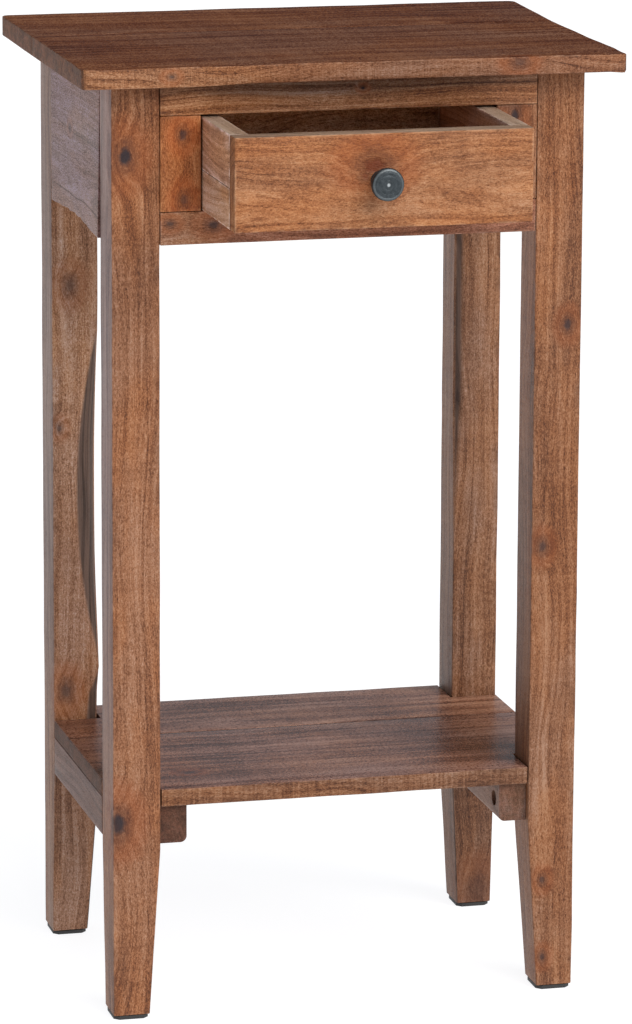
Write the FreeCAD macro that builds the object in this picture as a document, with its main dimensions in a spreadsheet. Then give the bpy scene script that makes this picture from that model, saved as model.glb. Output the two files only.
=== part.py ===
"""Side table with one drawer, in solid wood: a tapered four-leg frame, a two-board top,
a two-board shelf on bolted cleats, and a drawer that slides on wooden runners.

X runs to the right, Y to the back and Z up, in millimetres. The origin is on the floor,
under the middle of the whole table as it stands with its drawer drawn out.
"""

import FreeCAD, Part
import math
import os
import re

import Sketcher
from FreeCAD import Placement, Rotation, Vector

# ---------------------------------------------------------------- driving sizes
SIZES = [
    ("table_height", 750, "floor to the tabletop's upper face"),
    ("frame_width", 372, "over the outer faces of the legs"),
    ("frame_depth", 266, "over the front and back faces of the legs"),
    ("top_thick", 16, "tabletop boards"),
    ("top_overhang_side", 27, "tabletop beyond the legs, left and right"),
    ("top_overhang_front", 23.5, "tabletop beyond the front legs"),
    ("top_overhang_back", 23.5, "tabletop beyond the back legs"),
    ("top_front_board", 188, "width of the front tabletop board"),
    ("top_corner_radius", 8, "rounded outer corners of the tabletop"),
    ("leg_width", 38, "leg, left to right"),
    ("leg_depth", 41, "leg, front to back"),
    ("leg_taper", 8.5, "taken off each inner face at the foot"),
    ("taper_height", 136, "height where the taper starts"),
    ("pad_thick", 3, "plastic glide under each foot"),
    ("pad_inset", 1, "glide back from the foot's edges"),
    ("pad_corner", 4, "bevelled corners of the glide"),
    ("apron_height", 123.5, "side and back aprons"),
    ("apron_thick", 18, "side and back aprons"),
    ("upper_rail_height", 24.6, "rail above the drawer"),
    ("lower_rail_height", 25.5, "rail below the drawer"),
    ("rail_depth", 22, "front rails and stiles, front to back"),
    ("stile_width", 32, "upright between a front leg and the drawer opening"),
    ("tenon_thick", 8, "tenons of the aprons, rails and stretchers"),
    ("tenon_inset", 5, "outer face to tenon"),
    ("tenon_length", 16, "tenon into a leg"),
    ("tenon_shoulder", 6, "tenon back from the top and bottom edges"),
    ("joint_gap", 0.2, "clearance round a tenon or a dowel"),
    ("bearer_lap", 12, "runner or kicker inwards from the edge of the opening"),
    ("bearer_gap", 1, "runner or kicker to the legs beside it"),
    ("stub_length", 6, "stub tenon of a runner or kicker"),
    ("guide_width", 12, "guide strip beside the drawer"),
    ("guide_height", 20, "guide strips and stop blocks above the runner"),
    ("stop_length", 22.5, "stop block in front of the back apron"),
    ("stop_gap", 0.3, "closed drawer to stop block"),
    ("shelf_height", 184, "floor to the shelf's upper face"),
    ("shelf_thick", 14, "shelf boards"),
    ("shelf_front_board", 166, "width of the front shelf board"),
    ("notch_gap", 0.4, "shelf notch to leg"),
    ("stretcher_height", 31, "side stretchers and cleats under the shelf"),
    ("stretcher_thick", 16, "side stretchers"),
    ("cleat_width", 22, "cleat against the legs' inner faces"),
    ("cleat_setback", 7, "cleat back from the legs' front and back faces"),
    ("cleat_round", 5, "rounded lower inner edge of a cleat"),
    ("bolt_inset", 21, "cleat bolt back from the leg's front or back face"),
    ("bolt_radius", 3, "cleat bolt"),
    ("bolt_head_radius", 5.5, "cleat bolt head"),
    ("bolt_head_height", 4, "cleat bolt head"),
    ("bolt_recess_radius", 6.2, "counterbore for the bolt head"),
    ("bolt_recess_depth", 7, "counterbore for the bolt head"),
    ("insert_radius", 5, "threaded insert in the leg"),
    ("insert_length", 14, "threaded insert in the leg"),
    ("fastener_gap", 0.15, "radial clearance round bolts, screws and nails"),
    ("screw_radius", 2, "wood screws"),
    ("screw_head_radius", 3.8, "wood screws"),
    ("screw_head_height", 2.5, "wood screws"),
    ("top_screw_length", 28, "shank through a kicker into the top"),
    ("top_screw_inset", 70, "top screw in from the front or back of the frame"),
    ("shelf_screw_length", 32, "shank through a cleat into the shelf"),
    ("shelf_screw_recess", 5, "depth of the screw head in a cleat"),
    ("nail_radius", 0.9, "nails"),
    ("nail_head_radius", 2, "nails"),
    ("nail_head_height", 1, "nails"),
    ("nail_length", 30, "shank of the nails in the drawer, guides and stops"),
    ("pad_nail_length", 16, "shank of the glide's nail"),
    ("drawer_drawn_out", 103.5, "drawer front to frame front as the table stands"),
    ("drawer_side_gap", 1, "drawer to each stile"),
    ("drawer_under_gap", 0.3, "drawer to its runners"),
    ("drawer_over_gap", 1.6, "drawer to the upper rail and kickers"),
    ("drawer_front_thick", 16.5, "drawer front"),
    ("drawer_side_thick", 14.5, "drawer sides and back"),
    ("side_lower_board", 31, "lower of the two boards of a drawer side"),
    ("bottom_thick", 5, "drawer bottom panel"),
    ("bottom_raise", 8, "drawer bottom above the drawer's lower edge"),
    ("groove_depth", 6, "groove for the drawer bottom"),
    ("groove_gap", 0.3, "clearance of the bottom panel in its groove"),
    ("dowel_radius", 3, "dowels between drawer front and sides"),
    ("dowel_length", 20, "dowels between drawer front and sides"),
    ("knob_radius", 12.5, "knob disc"),
    ("knob_thick", 6, "knob disc, at its rim"),
    ("knob_reach", 22, "drawer front to the knob's outer face"),
    ("knob_neck_radius", 5.5, "knob neck"),
    ("knob_base_radius", 8, "foot of the knob against the drawer front"),
    ("knob_off_centre", 3, "knob to the left of the drawer front's middle"),
    ("knob_screw_radius", 2, "knob screw"),
    ("knob_screw_bite", 12, "knob screw into the knob"),
]
ALIASES = {alias for alias, _, _ in SIZES}

doc = FreeCAD.newDocument("SideTable")
sheet = doc.addObject("Spreadsheet::Sheet", "Sizes")
for row, (alias, number, note) in enumerate(SIZES, 1):
    sheet.set(f"A{row}", note)
    sheet.set(f"B{row}", str(number))
    sheet.setAlias(f"B{row}", alias)
doc.recompute()

# ------------------------------------------------- places that several pieces share
CENTRE = "((drawer_drawn_out + knob_reach - top_overhang_back) / 2)"
FRONT = f"({CENTRE} - frame_depth / 2)"
BACK = f"({CENTRE} + frame_depth / 2)"
APRON_TOP = "(table_height - top_thick)"
APRON_BOTTOM = f"({APRON_TOP} - apron_height)"
RUNNER_TOP = f"({APRON_BOTTOM} + lower_rail_height)"
KICKER_BOTTOM = f"({APRON_TOP} - upper_rail_height)"
OPENING_HEIGHT = "(apron_height - lower_rail_height - upper_rail_height)"
INNER_X = "(frame_width / 2 - leg_width)"
OPENING_X = f"({INNER_X} - stile_width)"
SHELF_BOTTOM = "(shelf_height - shelf_thick)"
CLEAT_BOTTOM = f"({SHELF_BOTTOM} - stretcher_height)"
BOLT_Z = f"({SHELF_BOTTOM} - stretcher_height / 2)"
BAY_FRONT = f"({FRONT} + rail_depth)"
BAY_BACK = f"({BACK} - apron_thick)"
BEARER_X = f"({OPENING_X} - bearer_lap)"
BEARER_WIDTH = "(stile_width + bearer_lap - bearer_gap)"

DRAWER_X = f"({OPENING_X} - drawer_side_gap)"
DRAWER_Y = f"({FRONT} - drawer_drawn_out)"
DRAWER_Z = f"({RUNNER_TOP} + drawer_under_gap)"
DRAWER_HEIGHT = f"({OPENING_HEIGHT} - drawer_under_gap - drawer_over_gap)"
DRAWER_LENGTH = "(frame_depth - apron_thick - stop_length - stop_gap)"
SIDE_Y = f"({DRAWER_Y} + drawer_front_thick)"
SIDE_LENGTH = f"({DRAWER_LENGTH} - drawer_front_thick)"
DRAWER_INNER_X = f"({DRAWER_X} - drawer_side_thick)"
DRAWER_END = f"({DRAWER_Y} + {DRAWER_LENGTH})"
BOTTOM_Z = f"({DRAWER_Z} + bottom_raise)"
LOWER_DOWEL_Z = f"({DRAWER_Z} + side_lower_board * 2 / 3)"
UPPER_DOWEL_Z = f"({DRAWER_Z} + ({DRAWER_HEIGHT} + side_lower_board) / 2)"
KNOB_Z = f"({DRAWER_Z} + {DRAWER_HEIGHT} / 2)"

SIDES = {"left": -1, "right": 1}
ENDS = {"front": -1, "back": 1}
TURNS = {
    "+x": Rotation(Vector(0, 1, 0), 90),
    "-x": Rotation(Vector(0, 1, 0), -90),
    "+y": Rotation(Vector(1, 0, 0), -90),
    "-y": Rotation(Vector(1, 0, 0), 90),
    "+z": Rotation(),
    "-z": Rotation(Vector(1, 0, 0), 180),
}
PIECES = []


# ------------------------------------------------------------------- helpers
def linked(formula):
    """A formula in plain aliases as an expression on the sheet."""
    return re.sub(r"[a-z_]+", lambda word: f"Sizes.{word[0]}" if word[0] in ALIASES else word[0], formula)


def bind(item, **formulas):
    for prop, formula in formulas.items():
        item.setExpression(prop, linked(formula))


def place(item, x, y, z):
    for axis, formula in zip("xyz", (x, y, z)):
        item.setExpression(f"Placement.Base.{axis}", linked(formula))


def piece(item, name):
    """Names a finished piece and puts it on the list of pieces to write."""
    item.Label = name
    PIECES.append(item)
    return item


def block(name, x, y, z):
    """A square-edged block. Each of x, y and z is a pair of formulas: start and size."""
    item = doc.addObject("Part::Box", name + "_block")
    bind(item, Length=x[1], Width=y[1], Height=z[1])
    place(item, x[0], y[0], z[0])
    return item


def rod(name, way, radius, length, x, y, z):
    """A round rod that starts at x, y, z and runs the way given."""
    item = doc.addObject("Part::Cylinder", name + "_rod")
    item.Placement = Placement(Vector(), TURNS[way])
    bind(item, Radius=radius, Height=length)
    place(item, x, y, z)
    return item


def fused(name, items):
    item = doc.addObject("Part::MultiFuse", name + "_fused")
    item.Shapes = items
    return item


def cut(name, blank, tools):
    item = doc.addObject("Part::Cut", name + "_cut")
    item.Base = blank
    item.Tool = tools[0] if len(tools) == 1 else fused(name + "_tools", tools)
    return item


def group(name, items):
    """Like fasteners share one piece as separate solids."""
    item = doc.addObject("Part::Compound", name + "_group")
    item.Links = items
    return piece(item, name)


def fastener(name, way, radii, lengths, x, y, z):
    """A bolt, screw or nail whose head starts at x, y, z: (head, shank) radii and lengths."""
    start = [f"{at} {way[0]} {lengths[0]}" if axis == way[1] else at for axis, at in zip("xyz", (x, y, z))]
    head = rod(name + "_head", way, radii[0], lengths[0], x, y, z)
    shank = rod(name + "_shank", way, radii[1], lengths[1], *start)
    return fused(name, [head, shank])


def side_start(side, near, size):
    """Where a span of this size starts on X, near being its end next to the middle."""
    return near if side > 0 else f"-({near}) - {size}"


def new_body(name, x, y, z):
    """A PartDesign body whose own origin stands at x, y, z of the table."""
    body = doc.addObject("PartDesign::Body", name + "_body")
    place(body, x, y, z)
    return body


def outline(body, name, plane, corners, height="0"):
    """A sketch on one of the body's own planes: straight lines through corners given as formulas."""
    sketch = body.newObject("Sketcher::SketchObject", name)
    sketch.AttachmentSupport = [(next(f for f in body.Origin.OriginFeatures if f.Role == plane), "")]
    sketch.MapMode = "FlatFace"
    sketch.setExpression("AttachmentOffset.Base.z", linked(height))
    count = len(corners)
    ring = [2 * math.pi * k / count for k in range(count)]
    rough = [Vector(50 * math.cos(turn), 50 * math.sin(turn), 0) for turn in ring]
    for k in range(count):
        sketch.addGeometry(Part.LineSegment(rough[k], rough[(k + 1) % count]))
    for k in range(count):
        sketch.addConstraint(Sketcher.Constraint("Coincident", k, 2, (k + 1) % count, 1))
    for k, corner in enumerate(corners):
        for kind, formula, start in zip(("DistanceX", "DistanceY"), corner, rough[k]):
            index = sketch.addConstraint(Sketcher.Constraint(kind, -1, 1, k, 1, start))
            sketch.setExpression(f"Constraints[{index}]", linked(formula))
    return sketch


def rectangle(body, name, width, depth, height="0"):
    corners = [("0", "0"), (width, "0"), (width, depth), ("0", depth)]
    return outline(body, name, "XY_Plane", corners, height)


def pad(body, name, sketch, length):
    feature = body.newObject("PartDesign::Pad", name)
    feature.Profile = sketch
    bind(feature, Length=length)
    return feature


def bore(body, name, way, radius, length, x, y, z):
    """A round hole in a body, in the body's own coordinates, that starts at x, y, z."""
    feature = body.newObject("PartDesign::SubtractiveCylinder", name)
    feature.Placement = Placement(Vector(), TURNS[way])
    bind(feature, Radius=radius, Height=length)
    place(feature, x, y, z)


def mortise(body, name, x, y, z):
    """A square hole in a body: each of x, y and z is a pair of formulas, start and size."""
    feature = body.newObject("PartDesign::SubtractiveBox", name)
    bind(feature, Length=x[1], Width=y[1], Height=z[1])
    place(feature, x[0], y[0], z[0])


def edges_where(shape, test):
    """The names of the edges for which the test holds, as a fillet or chamfer wants them."""
    return [f"Edge{k}" for k, edge in enumerate(shape.Edges, 1) if test(edge)]


def upright(edge):
    box = edge.BoundBox
    return box.XLength + box.YLength < 1e-6


# ---------------------------------------------------------------------- tabletop
def top_screw_place(side, end):
    """Under the middle of a kicker, towards one end of it."""
    y = f"({FRONT} + top_screw_inset)" if end < 0 else f"({BACK} - top_screw_inset)"
    return f"{side} * ({BEARER_X} + {BEARER_WIDTH} / 2)", y


def tabletop_board(name, y, width, end):
    """One of the two boards of the top, with its outer corners rounded and pilot holes below."""
    x = "(-frame_width / 2 - top_overhang_side)"
    body = new_body(name, x, y, APRON_TOP)
    sketch = rectangle(body, name + "_outline", "frame_width + 2 * top_overhang_side", width)
    slab = pad(body, name + "_slab", sketch, "top_thick")
    doc.recompute()
    outer = 0 if end < 0 else slab.Shape.BoundBox.YMax
    corners = edges_where(slab.Shape, lambda e: upright(e) and abs(e.BoundBox.YMin - outer) < 1e-6)
    rounding = body.newObject("PartDesign::Fillet", name + "_corners")
    rounding.Base = (slab, corners)
    bind(rounding, Radius="top_corner_radius")
    for side in SIDES.values():
        at_x, at_y = top_screw_place(side, end)
        depth = "top_screw_length + 2 * screw_head_height - upper_rail_height + fastener_gap"
        bore(body, name + "_pilot", "+z", "screw_radius + fastener_gap", depth,
             f"{at_x} - {x}", f"{at_y} - {y}", "0")
    piece(body, name)


def tabletop():
    y = f"({FRONT} - top_overhang_front)"
    depth = "frame_depth + top_overhang_front + top_overhang_back"
    tabletop_board("top_board_front", y, "top_front_board", ENDS["front"])
    tabletop_board("top_board_back", f"({y} + top_front_board)", f"{depth} - top_front_board", ENDS["back"])


# -------------------------------------------------------------------------- legs
def leg(name, side, end):
    """A square leg, tapered below the shelf on its two inner faces, and mortised for what it holds.
    Its own origin is at its outer corner, at the foot."""
    x_way, y_way = -side, -end
    x, y = f"({side} * frame_width / 2)", FRONT if end < 0 else BACK
    body = new_body(name, x, y, "pad_thick")
    foot = rectangle(body, name + "_foot", f"{x_way} * (leg_width - leg_taper)", f"{y_way} * (leg_depth - leg_taper)")
    section = rectangle(body, name + "_section", f"{x_way} * leg_width", f"{y_way} * leg_depth",
                        "taper_height - pad_thick")
    taper = body.newObject("PartDesign::AdditiveLoft", name + "_taper")
    taper.Profile = foot
    taper.Sections = [section]
    taper.Ruled = True
    pad(body, name + "_shaft", section, f"{APRON_TOP} - taper_height")

    def inwards(way, near, size):
        """Start and size of a span measured inwards from an outer face of the leg."""
        return (near, size) if way > 0 else (f"-({near}) - ({size})", size)

    hole_thick = inwards(x_way, "tenon_inset - joint_gap", "tenon_thick + 2 * joint_gap")
    hole_deep = inwards(y_way, "leg_depth - tenon_length - joint_gap", "tenon_length + joint_gap")
    across_thick = inwards(y_way, "tenon_inset - joint_gap", "tenon_thick + 2 * joint_gap")
    across_deep = inwards(x_way, "leg_width - tenon_length - joint_gap", "tenon_length + joint_gap")

    def hole_rise(bottom, height):
        start = f"{bottom} + tenon_shoulder - joint_gap - pad_thick"
        return start, f"{height} - 2 * tenon_shoulder + 2 * joint_gap"

    mortise(body, name + "_apron_mortise", hole_thick, hole_deep, hole_rise(APRON_BOTTOM, "apron_height"))
    mortise(body, name + "_stretcher_mortise", hole_thick, hole_deep, hole_rise(CLEAT_BOTTOM, "stretcher_height"))
    if end < 0:
        lower = hole_rise(APRON_BOTTOM, "lower_rail_height")
        upper = hole_rise(KICKER_BOTTOM, "upper_rail_height")
        mortise(body, name + "_lower_rail_mortise", across_deep, across_thick, lower)
        mortise(body, name + "_upper_rail_mortise", across_deep, across_thick, upper)
    else:
        rise = hole_rise(APRON_BOTTOM, "apron_height")
        mortise(body, name + "_back_apron_mortise", across_deep, across_thick, rise)

    bore(body, name + "_insert_hole", "+x" if side > 0 else "-x", "insert_radius + fastener_gap",
         "insert_length + fastener_gap", f"{x_way} * leg_width", f"{y_way} * bolt_inset",
         f"{BOLT_Z} - pad_thick")
    bore(body, name + "_nail_hole", "+z", "nail_radius + fastener_gap", "pad_nail_length",
         f"{x_way} * (leg_width - leg_taper) / 2", f"{y_way} * (leg_depth - leg_taper) / 2", "0")
    piece(body, name)


def foot_pad(name, side, end):
    """A plastic glide with bevelled corners, held by one nail in its middle."""
    width = "(leg_width - leg_taper - 2 * pad_inset)"
    depth = "(leg_depth - leg_taper - 2 * pad_inset)"
    x = f"({side} * (frame_width / 2 - (leg_width - leg_taper) / 2) - {width} / 2)"
    inner = "(frame_depth / 2 - (leg_depth - leg_taper) / 2)"
    y = f"({CENTRE} + {end} * {inner} - {depth} / 2)"
    body = new_body(name, x, y, "0")
    slab = pad(body, name + "_slab", rectangle(body, name + "_outline", width, depth), "pad_thick")
    doc.recompute()
    bevel = body.newObject("PartDesign::Chamfer", name + "_corners")
    bevel.Base = (slab, edges_where(slab.Shape, upright))
    bind(bevel, Size="pad_corner")
    middle = (f"{width} / 2", f"{depth} / 2")
    bore(body, name + "_hole", "+z", "nail_radius + fastener_gap", "pad_thick", *middle, "0")
    bore(body, name + "_recess", "+z", "2 * nail_head_radius + fastener_gap", "1.5 * nail_head_height",
         *middle, "0")
    piece(body, name)
    return fastener(name + "_nail", "+z", ("2 * nail_head_radius", "nail_radius"),
                    ("nail_head_height", "pad_nail_length"),
                    f"{x} + {middle[0]}", f"{y} + {middle[1]}", "0.5 * nail_head_height")


def legs():
    nails = []
    for side_name, side in SIDES.items():
        for end_name, end in ENDS.items():
            leg(f"leg_{end_name}_{side_name}", side, end)
            nails.append(foot_pad(f"foot_pad_{end_name}_{side_name}", side, end))
    group("foot_nails", nails)


# ---------------------------------------------------------------- aprons and rails
def tenoned_along_y(name, side, bottom, height, thick):
    """A board between the front and the back leg of one side, flush with their outer faces."""
    start = side_start(side, f"(frame_width / 2 - {thick})", thick)
    tenon = side_start(side, "(frame_width / 2 - tenon_inset - tenon_thick)", "tenon_thick")
    long_y = (f"{FRONT} + leg_depth", "frame_depth - 2 * leg_depth")
    tenon_y = (f"{FRONT} + leg_depth - tenon_length", "frame_depth - 2 * leg_depth + 2 * tenon_length")
    tenon_z = (f"{bottom} + tenon_shoulder", f"{height} - 2 * tenon_shoulder")
    board = block(name + "_board", (start, thick), long_y, (bottom, height))
    tongue = block(name + "_tenons", (tenon, "tenon_thick"), tenon_y, tenon_z)
    piece(fused(name, [board, tongue]), name)


def tenoned_along_x(name, y, tenon_y, depth, bottom, height, bearers):
    """A board between the two front or the two back legs, cut for the stub tenons of the bearers."""
    span = ("-" + INNER_X, f"2 * {INNER_X}")
    tenon_x = (f"-{INNER_X} - tenon_length", f"2 * {INNER_X} + 2 * tenon_length")
    tenon_z = (f"{bottom} + tenon_shoulder", f"{height} - 2 * tenon_shoulder")
    board = block(name + "_board", span, (y, depth), (bottom, height))
    tongue = block(name + "_tenons", tenon_x, (tenon_y, "tenon_thick"), tenon_z)
    holes = [stub(name + "_stub_hole", side, end, low, tall, "joint_gap")
             for side in SIDES.values() for end, low, tall in bearers]
    piece(cut(name, fused(name, [board, tongue]), holes), name)


def stub(name, side, end, bottom, height, gap):
    """The stub tenon at one end of a runner or kicker, or with a gap the hole that takes it."""
    size = f"({BEARER_WIDTH} - 2 * tenon_shoulder + 2 * {gap})"
    x = side_start(side, f"({BEARER_X} + tenon_shoulder - {gap})", size)
    y = f"{BAY_FRONT} - stub_length - {gap}" if end < 0 else BAY_BACK
    z = f"{bottom} + ({height} - tenon_thick) / 2 - {gap}"
    return block(name, (x, size), (y, f"stub_length + {gap}"), (z, f"tenon_thick + 2 * {gap}"))


RUNNER = (APRON_BOTTOM, "lower_rail_height")
KICKER = (KICKER_BOTTOM, "upper_rail_height")


def front_and_back():
    tenon_y = f"({FRONT} + tenon_inset)"
    tenoned_along_x("upper_front_rail", FRONT, tenon_y, "rail_depth", *KICKER, [(-1, *KICKER)])
    tenoned_along_x("lower_front_rail", FRONT, tenon_y, "rail_depth", *RUNNER, [(-1, *RUNNER)])
    back_tenon_y = f"({BACK} - tenon_inset - tenon_thick)"
    tenoned_along_x("back_apron", BAY_BACK, back_tenon_y, "apron_thick", APRON_BOTTOM, "apron_height",
                    [(1, *KICKER), (1, *RUNNER)])
    for name, side in SIDES.items():
        x = (side_start(side, OPENING_X, "stile_width"), "stile_width")
        stile = block(f"stile_{name}", x, (FRONT, "rail_depth"), (RUNNER_TOP, OPENING_HEIGHT))
        piece(stile, f"stile_{name}")
        tenoned_along_y(f"side_apron_{name}", side, APRON_BOTTOM, "apron_height", "apron_thick")


# ------------------------------------------------------- what carries the drawer
def bearer(name, side, bottom, height, tools):
    """A runner under the drawer or a kicker over it, from the front rail to the back apron."""
    x = (side_start(side, BEARER_X, BEARER_WIDTH), BEARER_WIDTH)
    y = (BAY_FRONT, f"{BAY_BACK} - {BAY_FRONT}")
    bar = block(name + "_bar", x, y, (bottom, height))
    stubs = [stub(f"{name}_stub", side, end, bottom, height, "0") for end in ENDS.values()]
    piece(cut(name, fused(name, [bar, *stubs]), tools), name)


def nailed_strip(name, side, x, y, length, nail_ys):
    """A strip on a runner, nailed down into it. Returns its nails and the holes they need below."""
    z = (RUNNER_TOP, "guide_height")
    strip = block(name, (side_start(side, x, "guide_width"), "guide_width"), (y, length), z)
    nail_x = f"{side} * ({x} + guide_width / 2)"
    top = f"({RUNNER_TOP} + guide_height)"
    nails, holes, recesses = [], [], []
    for nail_y in nail_ys:
        at = (nail_x, nail_y)
        nails.append(fastener(name + "_nail", "-z", ("nail_head_radius", "nail_radius"),
                              ("nail_head_height", "nail_length"), *at, top))
        depth = "nail_head_height + nail_length + fastener_gap"
        holes.append(rod(name + "_hole", "-z", "nail_radius + fastener_gap", depth, *at, top))
        recesses.append(rod(name + "_recess", "-z", "nail_head_radius + fastener_gap",
                            "nail_head_height", *at, top))
    piece(cut(name, strip, holes + recesses), name)
    return nails, holes


def drawer_bay():
    """Runners, kickers, guides and stops on each side, with the screws that hold the top."""
    screws, guide_nails, stop_nails = [], [], []
    for name, side in SIDES.items():
        guide_y, guide_length = BAY_FRONT, f"{BAY_BACK} - {BAY_FRONT}"
        ends = [f"{BAY_FRONT} + guide_height", f"{BAY_BACK} - guide_height"]
        nails, holes = nailed_strip(f"drawer_guide_{name}", side, OPENING_X,
                                    guide_y, guide_length, ends)
        guide_nails += nails
        stop_x, stop_y = f"({OPENING_X} - guide_width)", f"({BAY_BACK} - stop_length)"
        nails, stop_holes = nailed_strip(f"drawer_stop_{name}", side, stop_x, stop_y, "stop_length",
                                         [f"{stop_y} + stop_length / 2"])
        stop_nails += nails
        bearer(f"drawer_runner_{name}", side, *RUNNER, holes + stop_holes)
        tools = []
        for end in ENDS.values():
            at = top_screw_place(side, end)
            screws.append(fastener("top_screw", "+z", ("screw_head_radius", "screw_radius"),
                                   ("screw_head_height", "top_screw_length"),
                                   *at, f"{KICKER_BOTTOM} + screw_head_height"))
            tools.append(rod("kicker_hole", "+z", "screw_radius + fastener_gap",
                             "upper_rail_height", *at, KICKER_BOTTOM))
            tools.append(rod("kicker_recess", "+z", "screw_head_radius + fastener_gap",
                             "2 * screw_head_height", *at, KICKER_BOTTOM))
        bearer(f"drawer_kicker_{name}", side, *KICKER, tools)
    group("top_screws", screws)
    group("guide_nails", guide_nails)
    group("stop_nails", stop_nails)


# -------------------------------------------------------------------------- shelf
def shelf_screw_places(side):
    """One screw under the middle of each shelf board, in each cleat."""
    x = f"{side} * ({INNER_X} - cleat_width / 2)"
    yield x, f"({FRONT} + shelf_front_board / 2)"
    yield x, f"({BACK} - (frame_depth - shelf_front_board) / 2)"


def shelf_board(name, y, width, end, screw):
    """A shelf board with a notch round the leg at each outer corner."""
    deep = "(leg_depth + notch_gap)"
    wide = "(leg_width + notch_gap)"
    near, far = ("0", width) if end < 0 else (width, "0")
    notch = deep if end < 0 else f"({width} - {deep})"
    corners = [(wide, near), (f"frame_width - {wide}", near), (f"frame_width - {wide}", notch),
               ("frame_width", notch), ("frame_width", far), ("0", far), ("0", notch), (wide, notch)]
    body = new_body(name, "-frame_width / 2", y, SHELF_BOTTOM)
    pad(body, name + "_slab", outline(body, name + "_outline", "XY_Plane", corners), "shelf_thick")
    for side in SIDES.values():
        x, screw_y = list(shelf_screw_places(side))[screw]
        depth = "shelf_screw_length + screw_head_height + shelf_screw_recess - stretcher_height"
        bore(body, name + "_pilot", "+z", "screw_radius + fastener_gap", depth,
             f"{x} + frame_width / 2", f"{screw_y} - {y}", "0")
    piece(body, name)


def cleat(name, side):
    """A cleat inside the legs of one side, under the shelf, with its lower inner edge rounded.
    Its own origin is on the legs' inner face, at its front end and lower edge."""
    length = "(frame_depth - 2 * cleat_setback)"
    y = f"({FRONT} + cleat_setback)"
    body = new_body(name, f"{side} * {INNER_X}", y, CLEAT_BOTTOM)
    sketch = rectangle(body, name + "_outline", f"{-side} * cleat_width", length)
    bar = pad(body, name + "_bar", sketch, "stretcher_height")
    doc.recompute()
    inner = bar.Shape.BoundBox.XMin if side > 0 else bar.Shape.BoundBox.XMax

    def lower_inner(edge):
        box = edge.BoundBox
        return box.XLength + box.ZLength < 1e-6 and abs(box.XMin - inner) < 1e-6 and abs(box.ZMin) < 1e-6

    rounding = body.newObject("PartDesign::Fillet", name + "_round")
    rounding.Base = (bar, edges_where(bar.Shape, lower_inner))
    bind(rounding, Radius="cleat_round")
    way = "+x" if side > 0 else "-x"
    inner_face = f"{-side} * cleat_width"
    for bolt_y in ("bolt_inset - cleat_setback", f"{length} + cleat_setback - bolt_inset"):
        at = (inner_face, bolt_y, "stretcher_height / 2")
        bore(body, name + "_bolt_hole", way, "bolt_radius + 2 * fastener_gap", "cleat_width", *at)
        bore(body, name + "_counterbore", way, "bolt_recess_radius", "bolt_recess_depth", *at)
    for x, screw_y in shelf_screw_places(side):
        at = (f"{x} - {side} * {INNER_X}", f"{screw_y} - {y}", "0")
        bore(body, name + "_screw_hole", "+z", "screw_radius + fastener_gap", "stretcher_height", *at)
        bore(body, name + "_screw_recess", "+z", "screw_head_radius + fastener_gap",
             "shelf_screw_recess + screw_head_height", *at)
    piece(body, name)


def shelf():
    shelf_board("shelf_board_front", FRONT, "shelf_front_board", ENDS["front"], 0)
    shelf_board("shelf_board_back", f"({FRONT} + shelf_front_board)", "(frame_depth - shelf_front_board)",
                ENDS["back"], 1)
    bolts, inserts, screws = [], [], []
    for name, side in SIDES.items():
        tenoned_along_y(f"shelf_stretcher_{name}", side, CLEAT_BOTTOM, "stretcher_height", "stretcher_thick")
        cleat(f"shelf_cleat_{name}", side)
        way = "+x" if side > 0 else "-x"
        head_x = f"{side} * ({INNER_X} - cleat_width + bolt_recess_depth - bolt_head_height)"
        shank = "cleat_width - bolt_recess_depth + insert_length - 1"
        for bolt_y in (f"{FRONT} + bolt_inset", f"{BACK} - bolt_inset"):
            bolts.append(fastener("cleat_bolt", way, ("bolt_head_radius", "bolt_radius"),
                                  ("bolt_head_height", shank), head_x, bolt_y, BOLT_Z))
            at = (f"{side} * {INNER_X}", bolt_y, BOLT_Z)
            sleeve = rod("insert_sleeve", way, "insert_radius", "insert_length", *at)
            thread = rod("insert_thread", way, "bolt_radius + fastener_gap", "insert_length", *at)
            inserts.append(cut("leg_insert", sleeve, [thread]))
        for x, y in shelf_screw_places(side):
            screws.append(fastener("shelf_screw", "+z", ("screw_head_radius", "screw_radius"),
                                   ("screw_head_height", "shelf_screw_length"),
                                   x, y, f"{CLEAT_BOTTOM} + shelf_screw_recess"))
    group("cleat_bolts", bolts)
    group("leg_inserts", inserts)
    group("shelf_screws", screws)


# ------------------------------------------------------------------------- drawer
def panel_groove(name, x, y):
    """The groove that takes the drawer bottom."""
    z = (f"{BOTTOM_Z} - groove_gap", "bottom_thick + 2 * groove_gap")
    return block(name + "_groove", x, y, z)


def drawer_front():
    """The drawer front covers the ends of the sides. It is doweled to them and holds the knob."""
    name = "drawer_front"
    slab = block(name, ("-" + DRAWER_X, f"2 * {DRAWER_X}"), (DRAWER_Y, "drawer_front_thick"),
                 (DRAWER_Z, DRAWER_HEIGHT))
    reach = f"({DRAWER_INNER_X} + groove_depth)"
    tools = [panel_groove(name, ("-" + reach, f"2 * {reach}"), (f"{SIDE_Y} - groove_depth", "groove_depth"))]
    tools += [dowel(name + "_hole", side, z, "joint_gap") for side in SIDES.values()
              for z in (LOWER_DOWEL_Z, UPPER_DOWEL_Z)]
    tools.append(rod(name + "_screw_hole", "+y", "knob_screw_radius + fastener_gap",
                     "drawer_front_thick", "-knob_off_centre", DRAWER_Y, KNOB_Z))
    piece(cut(name, slab, tools), name)


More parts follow.
